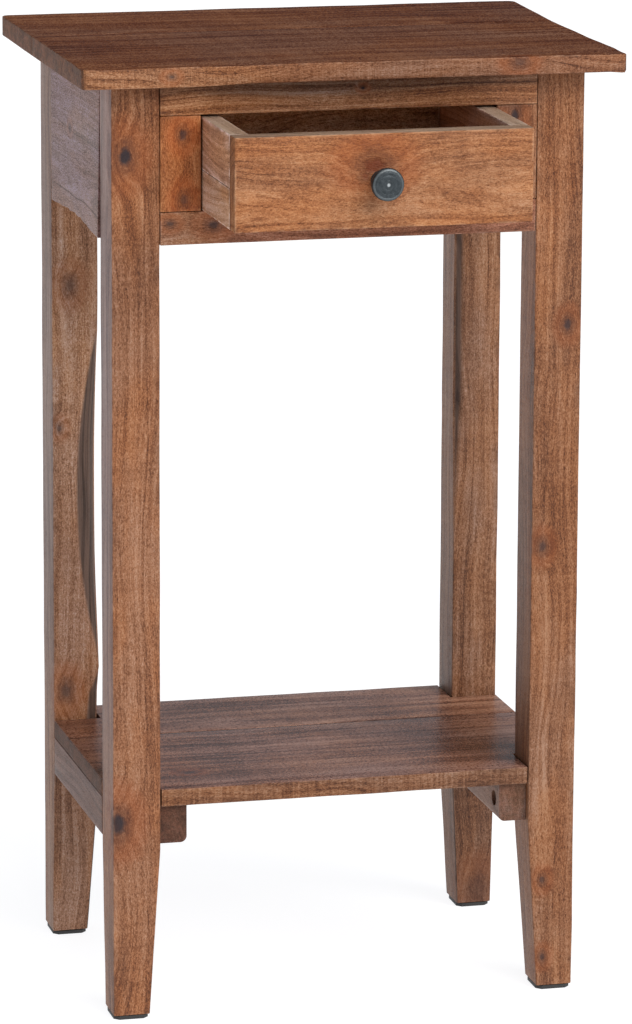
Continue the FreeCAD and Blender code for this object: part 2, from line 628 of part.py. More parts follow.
def dowel(name, side, z, gap):
    """A dowel between front and side, or with a gap the hole that takes it."""
    x = f"{side} * ({DRAWER_X} - drawer_side_thick / 2)"
    start = f"{SIDE_Y} - dowel_length / 2 - {gap}"
    return rod(name, "+y", f"dowel_radius + {gap}", f"dowel_length + 2 * {gap}", x, start, z)


def back_nail_places(side):
    """The nails through a drawer side into the end of the drawer back."""
    x, y = f"{side} * {DRAWER_X}", f"({DRAWER_END} - drawer_side_thick / 2)"
    return [(x, y, z) for z in (LOWER_DOWEL_Z, UPPER_DOWEL_Z)]


def nail_hole(name, way, at):
    """The hole for a nail with its head let in flush."""
    shank = rod(name + "_hole", way, "nail_radius + fastener_gap",
                "nail_head_height + nail_length + fastener_gap", *at)
    head = rod(name + "_recess", way, "nail_head_radius + fastener_gap", "nail_head_height", *at)
    return [shank, head]


def drawer_side(name, side):
    """One side is two boards edge to edge. The lower one holds the bottom panel."""
    x = (side_start(side, DRAWER_INNER_X, "drawer_side_thick"), "drawer_side_thick")
    y = (SIDE_Y, SIDE_LENGTH)
    way = "-x" if side > 0 else "+x"
    low, high = back_nail_places(side)
    lower = block(f"{name}_lower", x, y, (DRAWER_Z, "side_lower_board"))
    upper_z = f"({DRAWER_Z} + side_lower_board)"
    upper = block(f"{name}_upper", x, y, (upper_z, f"{DRAWER_HEIGHT} - side_lower_board"))
    groove_x = (side_start(side, DRAWER_INNER_X, "groove_depth"), "groove_depth")
    lower_tools = [panel_groove(name, groove_x, y), dowel(name + "_low_hole", side, LOWER_DOWEL_Z, "joint_gap")]
    upper_tools = [dowel(name + "_high_hole", side, UPPER_DOWEL_Z, "joint_gap")]
    piece(cut(f"{name}_lower", lower, lower_tools + nail_hole(name, way, low)), f"{name}_lower_board")
    piece(cut(f"{name}_upper", upper, upper_tools + nail_hole(name, way, high)), f"{name}_upper_board")
    nails = [fastener(name + "_nail", way, ("nail_head_radius", "nail_radius"),
                      ("nail_head_height", "nail_length"), *at) for at in (low, high)]
    dowels = [dowel(name + "_dowel", side, z, "0") for z in (LOWER_DOWEL_Z, UPPER_DOWEL_Z)]
    return nails, dowels


def drawer_box():
    drawer_front()
    nails, dowels = [], []
    for name, side in SIDES.items():
        side_nails, side_dowels = drawer_side(f"drawer_side_{name}", side)
        nails += side_nails
        dowels += side_dowels
    inner = ("-" + DRAWER_INNER_X, f"2 * {DRAWER_INNER_X}")
    back_y = (f"{DRAWER_END} - drawer_side_thick", "drawer_side_thick")
    back_z = f"({BOTTOM_Z} + bottom_thick)"
    back = block("drawer_back", inner, back_y, (back_z, f"{DRAWER_HEIGHT} - bottom_raise - bottom_thick"))
    reach = f"({DRAWER_INNER_X} + groove_depth - groove_gap)"
    panel_y = f"({SIDE_Y} - groove_depth + groove_gap)"
    panel = block("drawer_bottom", ("-" + reach, f"2 * {reach}"), (panel_y, f"{DRAWER_END} - {panel_y}"),
                  (BOTTOM_Z, "bottom_thick"))
    bottom_nails, bottom_holes = [], []
    for step in (-1, 0, 1):
        at = (f"{step} * {DRAWER_INNER_X} * 2 / 3", f"{DRAWER_END} - drawer_side_thick / 2", BOTTOM_Z)
        bottom_nails.append(fastener("bottom_nail", "+z", ("nail_head_radius", "nail_radius"),
                                     ("nail_head_height", "nail_length"), *at))
        bottom_holes += nail_hole("bottom_nail", "+z", at)
    side_holes = [tool for side in SIDES.values() for at in back_nail_places(side)
                  for tool in nail_hole("back_nail", "-x" if side > 0 else "+x", at)]
    piece(cut("drawer_back", back, side_holes + bottom_holes), "drawer_back")
    piece(cut("drawer_bottom", panel, bottom_holes), "drawer_bottom")
    group("drawer_side_nails", nails)
    group("drawer_bottom_nails", bottom_nails)
    group("drawer_dowels", dowels)


def knob():
    """A turned knob: a foot against the drawer front, a waisted neck and a shallow domed disc.
    Its profile is drawn from its axis outwards, with the drawer front at the bottom."""
    body = new_body("knob", "-knob_off_centre", DRAWER_Y, KNOB_Z)
    body.Placement = Placement(Vector(), TURNS["-y"])
    place(body, "-knob_off_centre", DRAWER_Y, KNOB_Z)
    profile = [("0", "0"), ("knob_base_radius", "0"), ("knob_base_radius", "knob_thick / 4"),
               ("knob_neck_radius", "knob_thick / 2"), ("knob_neck_radius", "knob_reach - 1.5 * knob_thick"),
               ("knob_radius - 1", "knob_reach - knob_thick"), ("knob_radius", "knob_reach - knob_thick + 1"),
               ("knob_radius", "knob_reach - 2"), ("knob_radius - 1", "knob_reach - 0.8"),
               ("0", "knob_reach")]
    sketch = outline(body, "knob_profile", "XZ_Plane", profile)
    turned = body.newObject("PartDesign::Revolution", "knob_turned")
    turned.Profile = sketch
    turned.ReferenceAxis = (sketch, ["V_Axis"])
    turned.Angle = 360
    doc.recompute()
    bore(body, "knob_thread", "+z", "knob_screw_radius + fastener_gap", "knob_screw_bite + 1", "0", "0", "0")
    piece(body, "knob")
    screw = fastener("knob_screw", "-y", ("2 * knob_screw_radius", "knob_screw_radius"),
                     ("knob_screw_radius", "drawer_front_thick + knob_screw_bite"),
                     "-knob_off_centre", f"{SIDE_Y} + knob_screw_radius", KNOB_Z)
    piece(screw, "knob_screw")


# ------------------------------------------------------------------- build and write
tabletop()
legs()
front_and_back()
drawer_bay()
shelf()
drawer_box()
knob()
doc.recompute()

for item in doc.Objects:
    if "Invalid" in item.State or "Error" in item.State:
        raise RuntimeError(f"{item.Name} did not build: {item.State}")
for item in PIECES:
    if item.Shape.isNull() or not item.Shape.isValid() or not item.Shape.Solids:
        raise RuntimeError(f"{item.Label} has no valid shape")

os.makedirs("parts", exist_ok=True)
for item in PIECES:
    item.Shape.exportStep(f"parts/{item.Label}.step")
print(len(PIECES), "pieces,", sum(len(item.Shape.Solids) for item in PIECES), "solids")
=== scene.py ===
# %% [markdown]
# # A side table with a drawer, finished in Blender
# The joiner's work is already done: every leg, rail and board comes from the CAD frame at its true
# size. This lesson planes, eases and stains them. Each board that shows is worked again as a mesh
# with soft edges and slight waves, because a hand-finished board is never quite straight, and
# each finish is built from shader nodes. The hidden battens, screws and nails stay as they are.

# %% The frame
import math
from types import SimpleNamespace

import bmesh
import bpy
from mathutils import Matrix, Vector


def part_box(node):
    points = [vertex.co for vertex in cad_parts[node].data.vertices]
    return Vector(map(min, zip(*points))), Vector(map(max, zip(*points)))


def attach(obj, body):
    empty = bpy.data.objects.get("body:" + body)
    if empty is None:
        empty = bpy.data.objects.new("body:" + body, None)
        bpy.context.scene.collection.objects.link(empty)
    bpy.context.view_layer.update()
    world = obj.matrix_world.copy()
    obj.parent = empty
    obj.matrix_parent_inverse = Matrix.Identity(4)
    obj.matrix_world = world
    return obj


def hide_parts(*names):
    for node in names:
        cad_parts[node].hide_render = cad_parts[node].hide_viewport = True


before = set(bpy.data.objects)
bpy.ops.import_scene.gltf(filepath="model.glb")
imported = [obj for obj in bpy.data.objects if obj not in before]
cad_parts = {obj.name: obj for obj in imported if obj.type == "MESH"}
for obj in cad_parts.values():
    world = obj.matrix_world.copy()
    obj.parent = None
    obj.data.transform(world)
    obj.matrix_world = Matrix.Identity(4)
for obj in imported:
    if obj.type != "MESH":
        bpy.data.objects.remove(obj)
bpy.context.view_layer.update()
MM = 0.001
X, Y, Z = 0, 1, 2

# %% [markdown]
# ## Camera
# A long lens far away keeps the upright legs nearly parallel. The camera stands to the left of the
# table and above it, and its place is counted from the middle of the four feet, so that it follows
# the table if the frame moves.

# %% Camera
foot_low, foot_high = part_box("leg_front_left")[0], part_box("leg_back_right")[1]
TABLE_MIDDLE = Vector(((foot_low.x + foot_high.x) / 2, (foot_low.y + foot_high.y) / 2, 0))
CAMERA_PLACE = TABLE_MIDDLE + Vector((-1.073, -4.240, 1.354))
CAMERA_TURN, CAMERA_DIP, CAMERA_ROLL = math.radians(14.31), math.radians(12.71), math.radians(0.28)
LENS, SENSOR_WIDTH = 198.4, 36
FARTHEST = 100

camera = bpy.data.objects.new("camera", bpy.data.cameras.new("camera"))
camera.data.lens = LENS
camera.data.sensor_width = SENSOR_WIDTH
camera.data.clip_end = FARTHEST
facing = (Matrix.Rotation(-CAMERA_TURN, 4, "Z") @ Matrix.Rotation(math.pi / 2 - CAMERA_DIP, 4, "X")
          @ Matrix.Rotation(CAMERA_ROLL, 4, "Z"))
camera.matrix_world = Matrix.Translation(CAMERA_PLACE) @ facing
bpy.context.scene.collection.objects.link(camera)
bpy.context.scene.camera = camera
print("camera at", [round(v, 3) for v in CAMERA_PLACE])

# %% [markdown]
# ## Lamps
# One big soft lamp stands in front and to the right, so the drawer front and the faces of the legs
# are lit and the left sides are not. Two suns are used, because their light is the same however
# far away the table stands, and a wide angle makes their shadows soft.

# %% Lamps
def lamp(name, strength, colour, elevation, azimuth, softness):
    """A very soft sun, in degrees. Azimuth 0 shines from the front, and 90 from the right."""
    light = bpy.data.lights.new(name, "SUN")
    light.energy, light.color, light.angle = strength, colour, math.radians(softness)
    ob = bpy.data.objects.new(name, light)
    ob.rotation_euler = (math.radians(90 - elevation), 0, math.radians(azimuth))
    bpy.context.scene.collection.objects.link(ob)
    print(name, strength)


lamp("key_lamp", strength=3.15, colour=(1.0, 0.965, 0.92), elevation=40, azimuth=24, softness=50)
lamp("back_lamp", strength=0.4, colour=(0.86, 0.93, 1.0), elevation=50, azimuth=200, softness=60)

# %% [markdown]
# ## Sky
# The sky is pale and a little blue, and brighter near the horizon than overhead. With the floor it
# gives the left sides their cooler light, as the walls of a white studio would.

# %% Sky
SKY_COLOUR = (0.87, 0.92, 1.0, 1)
SKY_FADE = {"From Min": 0.25, "From Max": 0.6, "To Min": 0.36, "To Max": 0.10}

world = bpy.data.worlds.new("studio")
world.use_nodes = True
nodes, links = world.node_tree.nodes, world.node_tree.links
sky = nodes["Background"]
sky.inputs["Color"].default_value = SKY_COLOUR
direction = nodes.new("ShaderNodeTexCoord")
upward = nodes.new("ShaderNodeSeparateXYZ")
brightness = nodes.new("ShaderNodeMapRange")
for key, value in SKY_FADE.items():
    brightness.inputs[key].default_value = value
links.new(direction.outputs["Generated"], upward.inputs[0])
links.new(upward.outputs["Z"], brightness.inputs["Value"])
links.new(brightness.outputs[0], sky.inputs["Strength"])
bpy.context.scene.world = world
bpy.context.scene.view_settings.view_transform = "Standard"
print("sky from", SKY_FADE["To Min"], "at the horizon to", SKY_FADE["To Max"], "overhead")

# %% [markdown]
# ## Floor
# The floor is a sheet of white paper that is lit from below like a light table, and it runs out
# past the edge of the view. Its own glow keeps it white, and its grey paper takes only a faint
# shadow.

# %% Floor
FLOOR_SIZE = 60
PAPER = {"Base Color": (0.25, 0.25, 0.25, 1), "Roughness": 0.9, "Specular IOR Level": 0.1,
         "Emission Color": (0.98, 0.985, 1.0, 1), "Emission Strength": 0.91}

bpy.ops.object.select_all(action="DESELECT")
bpy.ops.mesh.primitive_plane_add(size=FLOOR_SIZE, location=(0, 0, 0))
floor = bpy.context.object
floor.name = "floor"
paper = bpy.data.materials.new("white_paper")
paper.use_nodes = True
for key, value in PAPER.items():
    paper.node_tree.nodes["Principled BSDF"].inputs[key].default_value = value
floor.data.materials.append(paper)
print("floor", FLOOR_SIZE, "m wide")

# %% [markdown]
# ## Writing shader maths as sums
# A wood finish needs dozens of Math nodes. A small class that wraps a node's output lets the
# script say `1 - mask * 0.5`, and adds the nodes itself. Any other node comes from one method,
# which takes the node's type, its settings and what goes into its sockets.

# %% A value in a shader
class Flow:
    """What comes out of a node's socket, ready for sums."""

    def __init__(self, finish, socket):
        self.finish, self.socket = finish, socket

    def __add__(self, other):
        return self.finish.maths("ADD", self, other)

    def __sub__(self, other):
        return self.finish.maths("SUBTRACT", self, other)

    def __mul__(self, other):
        return self.finish.maths("MULTIPLY", self, other)

    def __truediv__(self, other):
        return self.finish.maths("DIVIDE", self, other)

    def __radd__(self, other):
        return self.finish.maths("ADD", other, self)

    def __rsub__(self, other):
        return self.finish.maths("SUBTRACT", other, self)

    def __rmul__(self, other):
        return self.finish.maths("MULTIPLY", other, self)

    def __pow__(self, other):
        return self.finish.maths("POWER", self, other)


# %% A finish
class Finish:
    """One material. Its node method makes any shader node."""

    def __init__(self, name):
        self.material = bpy.data.materials.new(name)
        self.material.use_nodes = True
        self.tree = self.material.node_tree
        self.shader = self.tree.nodes["Principled BSDF"]

    def node(self, kind, settings=None, *values, out=0, **named):
        made = self.tree.nodes.new("ShaderNode" + kind)
        for key, setting in (settings or {}).items():
            if key == "stops":
                self.set_stops(made.color_ramp, setting)
            else:
                setattr(made, key, setting)
        for key, value in [*enumerate(values), *named.items()]:
            self.feed(made.inputs[key], value)
        return Flow(self, made.outputs[out])

    def feed(self, socket, value):
        if isinstance(value, Flow):
            self.tree.links.new(value.socket, socket)
        else:
            socket.default_value = value

    def set_stops(self, ramp, stops):
        while len(ramp.elements) < len(stops):
            ramp.elements.new(0.5)
        for element, (place, colour) in zip(ramp.elements, stops):
            element.position, element.color = place, (*colour, 1)

    def maths(self, operation, *values):
        return self.node("Math", {"operation": operation}, *values)

    def vector_maths(self, operation, *values, out=0):
        return self.node("VectorMath", {"operation": operation}, *values, out=out)

    def vector(self, x, y, z):
        return self.node("CombineXYZ", None, x, y, z)

    def split(self, vector):
        made = self.node("SeparateXYZ", None, vector)
        return [Flow(self, socket) for socket in made.socket.node.outputs]

    def noise(self, vector, scale, detail=2.0, roughness=0.5):
        return self.node("TexNoise", None, Vector=vector, Scale=scale, Detail=detail,
                         Roughness=roughness)

    def smooth(self, value, low, high):
        """0 below low, 1 above high, and a smooth step between them."""
        return self.node("MapRange", {"interpolation_type": "SMOOTHSTEP"}, Value=value,
                         **{"From Min": low, "From Max": high})

    def least(self, a, b):
        return self.maths("MINIMUM", a, b)

    def most(self, a, b):
        return self.maths("MAXIMUM", a, b)

    def blend(self, share, first, second, mode="MIX"):
        """A mix of two colours."""
        made = self.tree.nodes.new("ShaderNodeMix")
        made.data_type, made.blend_type = "RGBA", mode
        share_socket, first_socket, second_socket, colour_out = 0, 6, 7, 2
        for socket, value in ((share_socket, share), (first_socket, first), (second_socket, second)):
            value = (*value, 1) if isinstance(value, tuple) else value
            self.feed(made.inputs[socket], value)
        return Flow(self, made.outputs[colour_out])

    def surface(self, colour, roughness, height, bump_strength, bump_distance):
        """Feeds the shader: its colour, its roughness, and a bump of this height."""
        bump = self.node("Bump", None, Strength=bump_strength, Distance=bump_distance, Height=height)
        for key, value in (("Base Color", colour), ("Roughness", roughness), ("Normal", bump)):
            self.feed(self.shader.inputs[key], value)
        return self.material


# %% [markdown]
# ## Wood
# A board is a slice of a tree, so its pattern is worked out in space and not on the surface: the
# growth rings are tubes round a pith that lies beside the board, bent by noise. The same sum
# then gives long bands on the faces and arcs on the end grain, which a pattern laid on each face
# would not. This is acacia, so the bands are soft, and what the eye sees first is a dense fleck
# of short pores, orange and brown clouds of stain, and dark knots. Each board has its own pith
# and its own tint.

# %% Tones of the stain
STOP_PLACES = (0.05, 0.36, 0.60, 0.98)
TONES = {
    "warm": ((0.092, 0.030, 0.012), (0.222, 0.086, 0.034), (0.345, 0.157, 0.073), (0.49, 0.282, 0.172)),
    # The top tones are darker than the warm ones: a painted shade on the tabletop's upper faces.
    "top": ((0.034, 0.0095, 0.0055), (0.080, 0.026, 0.014), (0.135, 0.060, 0.034), (0.225, 0.125, 0.085)),
    "shelf": ((0.045, 0.018, 0.012), (0.118, 0.052, 0.036), (0.200, 0.104, 0.076), (0.31, 0.190, 0.150)),
    "raw": ((0.10, 0.052, 0.028), (0.19, 0.105, 0.058), (0.30, 0.175, 0.100), (0.42, 0.26, 0.155)),
}


def times(colour, tint):
    return tuple(part * share for part, share in zip(colour, tint))


print("stains", sorted(TONES))


# %% What differs from board to board
class Look:
    """How one board differs from the next. Sizes are in millimetres, and places in metres."""

    pith = (20, 60)  # the tree's heart, counted from the board's middle: across and through it
    ring = 11.0  # width of a growth ring
    contrast = 1.0  # strength of the streaks and rings
    tint = (1, 1, 1)  # multiplies the tones of the stain
    knots = ()  # each (place, size, darkness)
    heart = (0.020, 0.015, 0.020)  # colour of a knot's heart
    veins = ()  # lines along the grain, each (offset from the middle, width, strength)
    vein_axis = None  # the axis that veins are offset on; None is the board's wider side
    # The stretch below is also used as painted shadow on the front rails and painted sheen on the shelf
    # top.
    sap = None  # a stretch of another tone: (axis, place, softness, tint)
    # How pale the arrises are: partly rubbed, and partly a painted highlight.
    wear = 0.35  # how pale the rubbed arrises are
    gloss = 0.50  # roughness of the finish
    shine = 0.28  # strength of its reflections
    fleck = 1.0  # strength of the short flecks
    cloud = 1.0  # strength of the broad patches
    wide = 1.0  # above 1, the pattern is coarser across the grain, for a broad board
    saw = 0.0  # strength of the ticks of a band saw
    ends = 0.55  # how much of the torn end grain shows
    # The next setting greys the faces that look one way; on the legs' left faces it is a painted sheen.
    faded = None  # faces that have greyed: (axis, way, amount, dark grey, light grey)
    relief = 1.0  # depth of the open grain
    bark = None  # the corner that a wane has cut: (x, y, way on X, way on Y)

    def __init__(self, **own):
        for key, value in own.items():
            assert hasattr(self, key), key
            setattr(self, key, value)


# %% Where a point lies in its board
SEED_STEP = 1.37


class Grain:
    """How far a point is along, across and through the board between two corners."""

    def __init__(self, finish, low, high, axis, seed, wide):
        self.finish, self.low, self.high, self.axis, self.wide = finish, low, high, axis, wide
        self.place = finish.node("TexCoord", out="Object")
        self.axes = finish.split(self.place)
        self.facing = finish.split(finish.node("TexCoord", out="Normal"))
        self.middle = (low + high) / 2
        self.sides = sorted({X, Y, Z} - {axis}, key=lambda side: high[side] - low[side], reverse=True)
        self.along = self.axes[axis] + seed * SEED_STEP
        self.across, self.through = (self.axes[side] - self.middle[side] for side in self.sides)

    def noise(self, length, width, detail=2.0, roughness=0.5, shift=0.0):
        """Noise with spots of this length and width, in millimetres."""
        spot = self.finish.vector(self.along * (1000 / length) + shift,
                                  self.across * (1000 / width / self.wide),
                                  self.through * (1000 / width))
        return self.finish.noise(spot, 1.0, detail, roughness)

    def layers(self, radius, length, width, spread, detail, shift=0.0):
        """Noise that follows the growth rings, so that it bends round the knots with them."""
        spot = self.finish.vector(self.along * (1000 / length) + shift,
                                  radius * (1000 / width / self.wide),
                                  (self.across + self.through * 0.6) * (1000 / spread))
        return self.finish.noise(spot, 1.0, detail, 0.6)


# %% [markdown]
# ## Knots
# A knot is the stub of a branch. On the table each is a dark heart in an orange glow, with a few
# fine rings round it, and the long grain flows past on both sides. Each one is a ball in space,
# slightly stretched along the grain and with a noisy outline, so it can be set at any place.

# %% Knots
KNOT_STRETCH = 0.70
KNOT_GLOW, KNOT_SHADE = (0.98, 0.58, 0.30), (0.62, 0.56, 0.72)


def knot_marks(grain, knots):
    """How dark a point is from a knot, how near one is, and the fine rings round its heart."""
    finish = grain.finish
    found = SimpleNamespace(core=None, near=None, rings=None)
    stretch = [1.0, 1.0, 1.0]
    stretch[grain.axis] = KNOT_STRETCH
    for spot, size, darkness in knots:
        offset = finish.vector_maths("SUBTRACT", grain.place, tuple(spot))
        offset = finish.vector_maths("MULTIPLY", offset, tuple(stretch))
        length = finish.vector_maths("LENGTH", offset, out="Value")
        wobble = finish.noise(grain.place, 1100.0 / size, 3.0, 0.65) - 0.5
        distance = length / (size * MM) + wobble * 0.8
        core = (1 - finish.smooth(distance, 0.30, 0.85)) * darkness
        near = 1 - finish.smooth(distance, 0.45, 3.6)
        wave = finish.maths("SINE", distance * 13.0) * 0.5 + 0.5
        rings = wave * (1 - finish.smooth(distance, 0.6, 2.6)) * finish.smooth(distance, 0.4, 0.8)
        for key, mark in (("core", core), ("near", near), ("rings", rings)):
            so_far = getattr(found, key)
            setattr(found, key, mark if so_far is None else finish.most(so_far, mark))
    return found


def knots_on(finish, colour, knot, heart, brown, mid):
    ring_glow = knot.near * (1 - knot.near) * 2.4
    colour = finish.blend(ring_glow * 0.6, colour, times(mid, KNOT_GLOW))
    shade = finish.smooth(knot.near, 0.62, 1.0) * 0.5
    colour = finish.blend(shade, colour, times(brown, KNOT_SHADE))
    return finish.blend(knot.core, colour, heart)


# %% [markdown]
# ## Rings, streaks and flecks
# The tone of a point is a sum of marks of very different sizes: rings of a centimetre, streaks of
# a few millimetres that run with them, hairlines, short flecks and pores below a millimetre, and
# slow clouds. Each is a noise stretched along the grain. One noise with many octaves would be
# quicker to write, but its marks would all have the same shape.

# %% Rings
RING_BEND = 0.034


def growth_rings(grain, look, knot):
    """The distance from the pith, and a wave that is 1 in the dark part of a ring."""
    finish = grain.finish
    warp = grain.noise(260, 70) - 0.5
    side_warp = grain.noise(190, 55, 1.0, shift=9.1) - 0.5
    pith_a = grain.across + look.pith[0] * MM + warp * RING_BEND
    pith_b = grain.through + look.pith[1] * MM + side_warp * RING_BEND
    radius = finish.maths("SQRT", pith_a * pith_a + pith_b * pith_b)
    if look.knots:
        radius = radius + knot.near * (0.9 * look.ring * MM)
    wave = finish.maths("SINE", radius * (2 * math.pi / (look.ring * MM))) * 0.5 + 0.5
    return radius, wave * finish.smooth(grain.noise(300, 26, 1.0, shift=4.0), 0.36, 0.66)


def wood_marks(grain, radius, band):
    """Every mark that the tone is made of, each from 0 to 1."""
    smooth = grain.finish.smooth
    return SimpleNamespace(
        band=band,
        flecks=grain.noise(2.4, 0.85, 1.0, 0.6),
        dust=grain.noise(1.1, 0.85, 1.0, 0.6, shift=3.3),
        streak=grain.layers(radius, 150, 3.2, 18, 3.0),
        hairline=smooth(grain.layers(radius, 80, 1.0, 9, 1.0, shift=5.0), 0.58, 0.70),
        patch=grain.noise(120, 46, 2.0, 0.5, shift=6.0),
        ripple=grain.noise(9, 48, 2.0, 0.55),
        pore=smooth(grain.noise(4.5, 0.7, 1.0, shift=2.0), 0.60, 0.72))


# %% Tone
def tone_of(grain, look, marks, knot):
    """How light a point is, from 0 for the stain's darkest tone to 1 for its lightest."""
    finish = grain.finish
    tone = (0.57 + (marks.flecks - 0.5) * (0.85 * look.fleck) + (marks.dust - 0.5) * (0.85 * look.fleck)
            + (marks.streak - 0.5) * (1.15 * look.contrast) + (marks.patch - 0.5) * (0.42 * look.cloud)
            + (marks.ripple - 0.5) * 0.28 - marks.band * (0.14 * look.contrast)
            - marks.hairline * (0.17 * look.contrast) - marks.pore * (0.09 * look.fleck))
    if look.knots:
        tone = tone - knot.rings * 0.16
    if look.saw:
        ticks = finish.vector(grain.along * 700.0, grain.across * 30.0, grain.through * 30.0)
        tone = tone + (finish.noise(ticks, 1.0, 1.0) - 0.5) * look.saw
    return tone


def with_veins(grain, look, marks, tone):
    """Darkens the tone along each vein. A vein wanders a little, and breaks up with the streaks."""
    finish = grain.finish
    side = grain.sides[0] if look.vein_axis is None else look.vein_axis
    for offset, width, strength in look.veins:
        drift = (grain.noise(150, 400, 2.0, shift=offset) - 0.5) * 0.016
        gap = finish.maths("ABSOLUTE", grain.axes[side] - grain.middle[side] - offset * MM + drift)
        line = 1 - finish.smooth(gap, 0.0, width * MM)
        tone = tone - line * finish.smooth(marks.streak, 0.34, 0.56) * strength
    return tone


# %% [markdown]
# ## Stain, rubbing, age and painted light
# The stain turns the tone into a colour, and it took more warmly in some clouds than in others.
# Then the table was rubbed on purpose: its arrises are paler, partly as a painted highlight, a
# blotchy band beside them is darker, its sawn ends are torn and dark, and the faces that look
# one way are greyed, a painted sheen on the legs' left faces. Each of these is one mask and one
# mix of colours, laid over the last in turn.

# %% Stain
WARM_CLOUD, COOL_CLOUD = (1.05, 0.98, 0.86), (0.96, 1.02, 1.13)


def stained(grain, look, marks, stain, tone):
    finish = grain.finish
    colour = finish.node("ValToRGB", {"stops": list(zip(STOP_PLACES, stain))}, tone)
    hue = finish.smooth(grain.noise(120, 30, 3.0, 0.6, shift=8.0), 0.36, 0.64)
    colour = finish.blend(1.0, colour, finish.blend(hue, WARM_CLOUD, COOL_CLOUD), "MULTIPLY")
    # A stretch of another tone: on the front rails a painted shadow, and on the shelf top a painted
    # sheen.
    if look.sap:
        axis, edge, softness, tint = look.sap
        drift = (grain.noise(120, 60, 2.0, shift=5.5) - 0.5) * 0.02
        wavy = grain.axes[axis] + drift + (marks.streak - 0.5) * 0.004
        strip = finish.smooth(wavy, edge, edge + softness * MM)
        colour = finish.blend(strip, colour, finish.blend(1.0, colour, tint, "MULTIPLY"))
    return colour


# %% Rubbed arrises, painted highlight and darkened bands
# Tint of the pale arrises, partly rubbed and partly a painted highlight.
RUBBED_AND_HIGHLIGHT = (1.12, 1.20, 1.30)
TORN_DARK, TORN_LIGHT = (0.30, 0.32, 0.42), (0.98, 0.99, 1.32)


def arris_distance(grain):
    """The distance to the nearest arris: the middle one of the three distances to a face."""
    least, most = grain.finish.least, grain.finish.most
    a, b, c = (least(value - grain.low[axis], grain.high[axis] - value)
               for axis, value in enumerate(grain.axes))
    return most(least(a, b), least(most(a, b), c))


def paled_and_darkened_arrises(grain, look, colour, scuff, dark, light):
    finish, arris = grain.finish, arris_distance(grain)
    # Paler arrises: rubbed, and a painted highlight in a pale bluish tint.
    worn_and_highlight = (1 - finish.smooth(arris, 0.0002, 0.0022)) * finish.smooth(scuff, 0.42, 0.62)
    colour = finish.blend(worn_and_highlight * look.wear, colour, times(light, RUBBED_AND_HIGHLIGHT))
    # A band about 8 mm wide beside every arris is darkened in blotches.
    blotch = finish.smooth(finish.noise(grain.place, 33.0, 3.0, 0.6), 0.48, 0.66)
    arris_darkening = (1 - finish.smooth(arris, 0.0, 0.008)) * blotch
    return finish.blend(arris_darkening * 0.42, colour, dark)


def torn_ends(grain, look, colour, scuff, end_grain, brown):
    finish = grain.finish
    torn = finish.noise(grain.place, 420.0, 4.0, 0.7) * 0.6 + scuff * 0.4
    rough_end = finish.blend(finish.smooth(torn, 0.43, 0.58), times(brown, TORN_DARK),
                             times(brown, TORN_LIGHT))
    return finish.blend(end_grain * look.ends, colour, rough_end)


# %% Grey faces, a painted sheen on the legs, and bare bark
GREY_FROM, GREY_TO = 0.10, 0.38
BARK_DARK, BARK_LIGHT = (0.022, 0.013, 0.011), (0.125, 0.078, 0.060)


def faded_grey(grain, look, marks, colour):
    """Greys the faces that look one way, and hardly below the shelf; on the legs' left faces this grey is
    a painted sheen.
    """
    finish = grain.finish
    axis, way, amount, dark_grey, light_grey = look.faded
    share = finish.smooth(marks.streak + (marks.flecks - 0.5) * 0.5, 0.2, 0.8)
    grey = finish.blend(share, dark_grey, light_grey)
    height_share = finish.smooth(grain.axes[Z], GREY_FROM, GREY_TO) * 0.9 + 0.1
    faces = finish.smooth(grain.facing[axis] * way, 0.55, 0.95)
    return finish.blend(faces * height_share * amount, colour, grey)


def under_bark(grain, look, marks, colour):
    """The dark skin of a wane: it lies inside the corner and faces out at half a right angle."""
    finish = grain.finish
    x, y, way_x, way_y = look.bark
    depth = finish.least((grain.axes[X] - x) * way_x, (grain.axes[Y] - y) * way_y)
    turned = (grain.facing[X] * -way_x + grain.facing[Y] * -way_y) * 0.7071
    cut = finish.smooth(depth, 0.0007, 0.0024) * finish.smooth(turned, 0.76, 0.92)
    skin = finish.blend(finish.smooth(marks.streak, 0.34, 0.62), BARK_DARK, BARK_LIGHT)
    return finish.blend(cut * 0.92, colour, skin)


# %% Wood
OPEN_GRAIN_DEPTH = 0.0009


